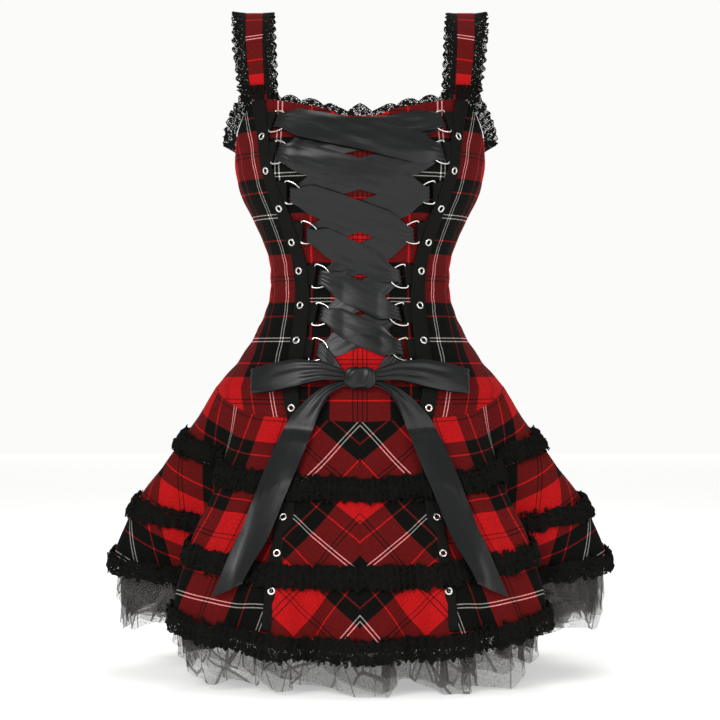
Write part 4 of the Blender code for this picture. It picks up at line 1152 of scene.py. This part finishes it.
# Rows are x, lift, z, half width, lean, and how tightly the ribbon is gathered
def ribbonCloth(rows, step, smooth, columns, folds, creaseSize):
    rows, at = resample(rows, step, smooth)
    x, lift, z, half, lean, tight = rows.T
    c = np.linspace(-1, 1, columns)[::-1]
    pleat = creaseSize * np.cos(c * math.pi * folds)[:, None] * tight[None]
    drape = 0.00035 * np.sin(c * 7.0)[:, None] * (1 - tight)[None]
    drape = drape * np.sin(np.arange(len(x)) * 0.12)[None]
    drape = drape - 0.00045 * (np.abs(c) ** 9)[:, None] * (1 - tight)[None]
    up = c[:, None] * half[None]
    ahead = np.gradient(np.stack([x, lift], -1), axis=0)
    ahead /= np.maximum(np.linalg.norm(ahead, axis=1, keepdims=True), 1e-9)
    off = pleat + drape
    across = x[None] + up * lean[None] - ahead[:, 1] * off
    grid = frontPoint(across, z[None] + up, lift[None] + ahead[:, 0] * off)
    return grid, pair(at[None], up)


def laceUp():
    rows = lacingRows()[:, [0, 2, 1, 3, 4, 5]]
    step, smooth, columns = (ribbonSpec[key] for key in ("step", "smooth", "columns"))
    grid, marks = ribbonCloth(rows, step, smooth, columns, 4, 0.0005)
    made = shell("lacing_ribbon_satin", grid, ribbonSpec["thick"], marks, [satin])
    sew(made, ["lacing_ribbon"])


laceUp()
print("ribbon laced")

# Bow: rows of a loop (x, z, half height, front lift, back lift) and of a tail (x, z, half, lift)
bowSpec = {
    "loop": (
        (0.0190, -0.4705, 0.0065, 0.0112, 0.0078), (0.0450, -0.4660, 0.0115, 0.0150, 0.0088),
        (0.0750, -0.4690, 0.0158, 0.0162, 0.0072), (0.1050, -0.4750, 0.0155, 0.0150, 0.0064),
        (0.1300, -0.4800, 0.0130, 0.0130, 0.0064),
    ),
    "tail": (
        (0.0190, -0.4790, 0.0035, 0.0070), (0.0300, -0.4830, 0.0040, 0.0075),
        (0.0420, -0.4890, 0.0055, 0.0075), (0.0570, -0.5080, 0.0110, 0.0088),
        (0.0720, -0.5330, 0.0160, 0.0112), (0.0900, -0.5790, 0.0175, 0.0130),
        (0.1095, -0.6260, 0.0175, 0.0124), (0.1244, -0.6650, 0.0175, 0.0126),
        (0.1420, -0.7010, 0.0175, 0.0132), (0.1550, -0.7300, 0.0172, 0.0128),
    ),
    "knot": (0.0205, 0.0068, 0.0142), "knotZ": -0.4740, "knotLift": 0.0080, "slant": -0.016,
    "band": (0.036, 0.130), "thick": 0.0007,
}


def bowLoops():
    loop = np.array(bowSpec["loop"])
    x, z, half, front, back = loop[-1]
    middle, radius = (front + back) / 2, (front - back) / 2
    tight = np.exp(-(((loop[:, 0] - 0.019) / 0.045) ** 2))
    there, home = (
        np.stack([loop[:, 0], loop[:, n], loop[:, 1], loop[:, 2], 0 * tight, tight], -1)
        for n in (3, 4)
    )
    tip = [
        (x + radius * math.sin(t), middle + radius * math.cos(t), z, half, 0, 0)
        for t in np.radians((30, 60, 90, 120, 150))
    ]
    rows = np.vstack([there, tip, home[::-1]])
    grid, marks = ribbonCloth(rows, 0.0018, 0.0028, 25, 3, 0.0011)
    sewBoth("bow_loop", "satin", grid, marks, bowSpec["thick"], [satin])


def bowTails():
    tail = np.array(bowSpec["tail"])
    path, run = resample(tail[:, [0, 3, 1, 2]], 0.0025, 0.006)
    x, lift, z, half = path.T
    ahead = unit(np.gradient(np.stack([x, z], -1), axis=0))
    c = np.linspace(-1, 1, 19)
    slant = bowSpec["slant"] * np.clip((run - run[-1] + 0.03) / 0.03, 0, 1) ** 2
    dx = -ahead[:, 1:] * half[:, None] * c - ahead[:, :1] * slant[:, None] * c
    dz = ahead[:, :1] * half[:, None] * c - ahead[:, 1:] * slant[:, None] * c
    curl = 0.0014 * (c**2)[None] * np.sin(run * 30 + 0.5)[:, None]
    twist = 0.0016 * np.exp(-((run / 0.05) ** 2))[:, None] * np.cos(c * 5)[None]
    swell = 0.0012 * np.sin(run * 52)[:, None] * np.clip(run / 0.08, 0, 1)[:, None]
    lifts = lift[:, None] + curl + twist + swell
    grid = frontSurface(x[:, None] + dx, z[:, None] + dz, lifts)
    marks = pair(run[:, None], half[:, None] * c[None])
    sewBoth("bow_tail", "satin", grid, marks, bowSpec["thick"], [satin])


def bowKnot():
    rise = np.linspace(0.05, math.pi - 0.05, 30)[:, None]
    turn = np.linspace(0, math.tau, 73)[None]
    ring = np.sin(rise) ** 0.6
    sizeX, sizeY, sizeZ = bowSpec["knot"]
    fold = 1 + 0.15 * np.cos(np.cos(turn) * 8 + rise * 2.2) * np.sin(rise)
    pinch = 1 - 0.10 * np.exp(-((np.cos(turn) / 0.4) ** 2)) * np.cos(rise) ** 2
    px = sizeX * ring * np.sign(np.cos(turn)) * np.abs(np.cos(turn)) ** 0.7
    py = sizeY * ring * np.sin(turn) * fold
    pz = sizeZ * np.sign(np.cos(rise)) * np.abs(np.cos(rise)) ** 0.8 * pinch
    centre = (np.array(value) for value in (0.0, bowSpec["knotZ"], bowSpec["knotLift"]))
    knot = vector(px, py, pz) + frontPoint(*centre)
    marks = pair(pz, turn * 0.006)
    made = shell("bow_knot_satin", knot, bowSpec["thick"], marks, [satin], True)
    sew(made, ["bow_knot"])


bowLoops()
bowTails()
bowKnot()
print("bow tied")

# Ruched trims round the skirt: falls, height, gathers, room over the eyelet tapes
trimSpec = {
    "falls": (0.31, 0.69, 1.0), "height": 0.0262, "gathers": 210, "columns": 1200, "rows": 9,
    "seat": 0.0022, "tape": 0.0022, "tapeReach": 3.6, "puff": 0.0036, "thick": 0.0005,
}
skirtDrop = waistSeam[0][1] - hemLine[0][1]


def overTape(side, centre):
    off = (side - curve(tapeOnSkirt, centre)) / trimSpec["tapeReach"]
    return np.exp(-(off**4)) * trimSpec["tape"]


def trims():
    angle = np.linspace(-180, 180, trimSpec["columns"] + 1)
    side = folded(angle)
    v = np.linspace(-0.5, 0.5, trimSpec["rows"])
    far = np.abs(v)[:, None] * 2
    for number, centre in enumerate(trimSpec["falls"], start=1):
        phase = np.radians(angle) * trimSpec["gathers"] + 1.3 * wander(len(angle), 18, True)
        strength = 1 + 0.35 * wander(len(angle), 11, True)
        gather = np.sin(phase) * strength + 0.35 * np.sin(phase * 2.37 + 1.1) + 1
        lump = wander(len(angle), 7, True)
        stray = 0.0016 * wander(len(angle), 20, True)
        upper, lower = wander(len(angle), 3, True), wander(len(angle), 3, True)
        lean = v[:, None] + 0.035 * np.sin(phase * 0.5)[None] * far
        edge = np.where(v[:, None] > 0, upper[None], lower[None]) * far**3
        ragged = 1 + 0.10 * np.abs(np.sin(phase * 0.5))[None] + 0.13 * edge
        fall = centre - (lean * ragged * trimSpec["height"] + stray[None]) / skirtDrop
        puff = trimSpec["puff"] * np.clip(1 - far**2, 0, 1) ** 0.5
        crumple = 0.0009 * np.sin(v[:, None] * 19 + 2.2 * lump[None]) * (1 - far**2)
        depth = 0.0009 + 0.0017 * far
        lift = trimSpec["seat"] + puff + overTape(side, centre)[None] + depth * gather[None] * 0.7
        lift = lift + crumple + 0.0009 * np.clip(lump, -1.2, 2)[None]
        lift = lift + wornCrease(skirtAt, angle, np.clip(fall, 0, 1))
        grid = raised(skirtAt, angle + 0 * fall, fall, lift)[::-1]
        marks = pair(np.radians(angle)[None] * 0.42, v[:, None] * trimSpec["height"])[::-1]
        name = f"skirt_trim_{number}"
        made = shell(f"{name}_lace", grid, trimSpec["thick"], marks, [trimLace], True)
        sew(made, [name])


# Lace petals along the trims: length, width, how many round each edge
petalSpec = {
    "length": 0.0066, "width": 0.0056, "count": 240, "curl": 0.0016, "columns": 3,
    "thick": 0.0004, "edges": (-1, -0.35, 0.35, 1), "lift": 0.0028,
}


def petalModel():
    v = np.linspace(0, 1, 4)[:, None]
    u = np.linspace(-1, 1, petalSpec["columns"])[None]
    wide = petalSpec["width"] / 2 * np.sin(np.pi * (0.12 + 0.80 * v)) ** 0.7
    long = v * petalSpec["length"]
    points = vector(u * wide, long, petalSpec["curl"] * (np.sin(v * 2.4) - 0.5 * u * u))
    marks = pair(u * wide, long)
    return shell("petal model", points[::-1], petalSpec["thick"], marks[::-1], [trimLace])


def petals():
    places, turns, sizes = [], [], []
    count = petalSpec["count"]
    for centre, edge in ((c, e) for c in trimSpec["falls"] for e in petalSpec["edges"]):
        angle = np.linspace(-180, 180, count, endpoint=False) + rng.uniform(-0.5, 0.5, count)
        off = edge * (0.40 + rng.uniform(-0.10, 0.06, count))
        fall = centre - off * trimSpec["height"] / skirtDrop
        lift = trimSpec["seat"] + petalSpec["lift"] * (1 - edge * edge)
        lift = lift + overTape(folded(angle), centre) + rng.uniform(0, 0.0010, count)
        lift = lift + wornCrease(skirtAt, angle, np.clip(fall, 0, 1))
        out = outwardOf(skirtAt, angle, fall)
        around = unit(skirtAt(angle + 0.5, fall) - skirtAt(angle - 0.5, fall))
        up = unit(np.cross(out, around)) * np.sign(edge)
        swing = rng.uniform(-0.7, 0.7, count)[:, None]
        rise = out * rng.uniform(0.05, 0.5, count)[:, None]
        reach = unit(up * np.cos(swing) + around * np.sin(swing) + rise)
        side = unit(np.cross(reach, out))
        places.append(raised(skirtAt, angle, fall, lift))
        turns += turned(side, reach, unit(np.cross(side, reach)))
        sizes.append(rng.uniform(0.7, 1.15, count)[:, None] * np.ones((1, 3)))
    places, sizes = np.vstack(places), np.vstack(sizes)
    sew(repeat("trim_petals", petalModel(), places, turns, sizes, trimLace))


trims()
petals()
print("trims gathered")

# Net frill: layers as inset, length share and pleats
netSpec = {
    "start": 0.90, "columns": 800, "rows": 9, "thick": 0.0004,
    "end": ((0, 1.20), (45, 1.24), (70, 1.36), (90, 1.38), (135, 1.28), (180, 1.20)),
    "layers": ((0.0040, 0.86, 27), (0.0095, 1.04, 19), (0.0150, 0.95, 23)),
    "fold": 3.4, "wave": 0.0095, "jag": 0.26, "lean": 0.006, "quarter": 1.5708,
}


def netFrill():
    angle = np.linspace(-180, 180, netSpec["columns"] + 1)
    side = folded(angle)
    start, quarter = netSpec["start"], netSpec["quarter"]
    share = np.linspace(0, 1, netSpec["rows"])[:, None]
    for number, (inset, reach, pleats) in enumerate(netSpec["layers"], start=1):
        phase = np.radians(angle) * pleats + 1.6 * wander(len(angle), 32, True)
        saw = np.arcsin(np.sin(phase)) / quarter
        jag = netSpec["jag"] * np.abs(np.arcsin(np.sin(phase * 0.5)) / quarter)
        jag = jag + 0.07 * wander(len(angle), 20, True)
        end = start + (curve(netSpec["end"], side) - start) * (reach - jag)
        fall = start + share * (end - start)[None]
        place = angle + netSpec["fold"] * share**0.5 * np.sin(phase + 0.8)[None]
        onSkirt = np.minimum(fall, 1.0)
        out = unit(outwardOf(skirtAt, place, onSkirt - 0.02) * (1, 1, 0))
        point = skirtAt(place, onSkirt)
        seam, hem = curve(waistSeam, side), curve(hemLine, side)
        point[..., 2] = seam[None] + fall * (hem - seam)[None]
        wave = (0.0012 + netSpec["wave"] * share) * saw[None]
        deep = inset + netSpec["lean"] * share - wave - wornCrease(skirtAt, place, onSkirt)
        grid = point - out * deep[..., None]
        marks = pair(np.radians(angle)[None] * 0.5, share * 0.12)
        name = f"net_layer_{number}"
        made = shell(name, grid, netSpec["thick"], marks, [netCloth], True)
        sew(made, ["net_frill"])


netFrill()
print("net gathered")

# Stitches along the tapes: length, pitch, how far in from the edge
stitchSpec = {"length": 0.0022, "pitch": 0.0034, "radius": 0.00022, "inset": 0.0016, "sides": 4}


def stitchModel():
    sides = stitchSpec["sides"]
    turn = np.arange(sides) * math.tau / sides
    along = np.array((-1, -0.8, 0, 0.8, 1)) * stitchSpec["length"] / 2
    thin = np.array((0.35, 0.9, 1, 0.9, 0.35)) * stitchSpec["radius"]
    points = vector(thin[:, None] * np.cos(turn), along[:, None], thin[:, None] * np.sin(turn))
    index = np.arange(points.size // 3).reshape(-1, sides)
    nextOne = np.roll(index, -1, axis=1)
    faces = np.stack([index[:-1], index[1:], nextOne[1:], nextOne[:-1]], -1).reshape(-1, 4)
    return makeMesh("stitch model", points.reshape(-1, 3), faces, [thread])


def stitches():
    rows = []
    # The pitch is turned into shares of a tape's length down the bodice and the skirt
    place = np.concatenate([
        np.arange(0.01, 1, stitchSpec["pitch"] / 0.40),
        np.arange(1.01, tapeSpec["end"] - 0.01, stitchSpec["pitch"] / 0.285),
    ])
    lift = tapeSeat(place) + tapeSpec["thick"]
    for mirror, edge in ((1, -1), (1, 1), (-1, -1), (-1, 1)):
        across = edge * (tapeSpec["width"] / 2 - stitchSpec["inset"]) + 0 * place
        rows.append(frameAt(place, across, lift, mirror))
    here, *frames = (np.vstack(values) for values in zip(*rows))
    sizes = np.ones((len(here), 3))
    sew(repeat("tape_stitches", stitchModel(), here, turned(*frames), sizes, thread))


stitches()
print("stitched")

# Lights: name, place, size, power; all look at the middle of the dress
studioSpec = {
    "reach": 6.0, "middle": (0, 0, -0.45), "glow": 0.35, "sky": 0.42, "camera": (0, -2.6, -0.45),
    "lights": (
        ("key light", (-1.3, -2.6, 1.0), 1.5, 62.0),
        ("fill light", (1.9, -2.2, 0.2), 1.8, 26.0),
        ("top light", (0.2, 0.6, 2.2), 1.8, 26.0),
    ),
}


def studio():
    scene, lowest, reach = bpy.context.scene, cadBox[0][2], studioSpec["reach"]
    floorColour, _, floorShader = newMaterial("pale floor", "f6f6f5", 0.9, specular=0.1)
    floorShader.inputs["Emission Color"].default_value = linear("ffffff")
    floorShader.inputs["Emission Strength"].default_value = studioSpec["glow"]
    corners = [(x * reach, y * reach, lowest) for x, y in ((-1, -1), (1, -1), (1, 1), (-1, 1))]
    floor = makeMesh("floor", corners, [(0, 1, 2, 3)], [floorColour])
    backColour, backTree, _ = newMaterial("white backdrop", "ffffff", 1.0)
    glow = addNode(backTree, "ShaderNodeEmission", {"Color": linear("fbfbfa"), "Strength": 1.0})
    backTree.links.new(glow.outputs[0], backTree.nodes["Material Output"].inputs["Surface"])
    far = [(x * reach, reach, z) for x, z in ((-1, lowest), (1, lowest), (1, reach), (-1, reach))]
    backdrop = makeMesh("backdrop", far, [(0, 1, 2, 3)], [backColour])
    scene.world = bpy.data.worlds.new("studio")
    scene.world.use_nodes = True
    sky = scene.world.node_tree.nodes["Background"]
    sky.inputs["Color"].default_value = linear("f7f7f6")
    sky.inputs["Strength"].default_value = studioSpec["sky"]
    scene.view_settings.view_transform = "Standard"
    for name, place, size, power in studioSpec["lights"]:
        data = bpy.data.lights.new(name, "AREA")
        data.size, data.energy = size, power
        lamp = bpy.data.objects.new(name, data)
        scene.collection.objects.link(lamp)
        lamp.location = place
        aim = Vector(place) - Vector(studioSpec["middle"])
        lamp.rotation_euler = aim.to_track_quat("Z", "Y").to_euler()
    camera = bpy.data.objects.new("camera", bpy.data.cameras.new("camera"))
    scene.collection.objects.link(camera)
    camera.data.lens, camera.data.sensor_width = 100.0, 36.0
    camera.location = studioSpec["camera"]
    camera.rotation_euler = (math.radians(90), 0, 0)
    scene.camera = camera


studio()
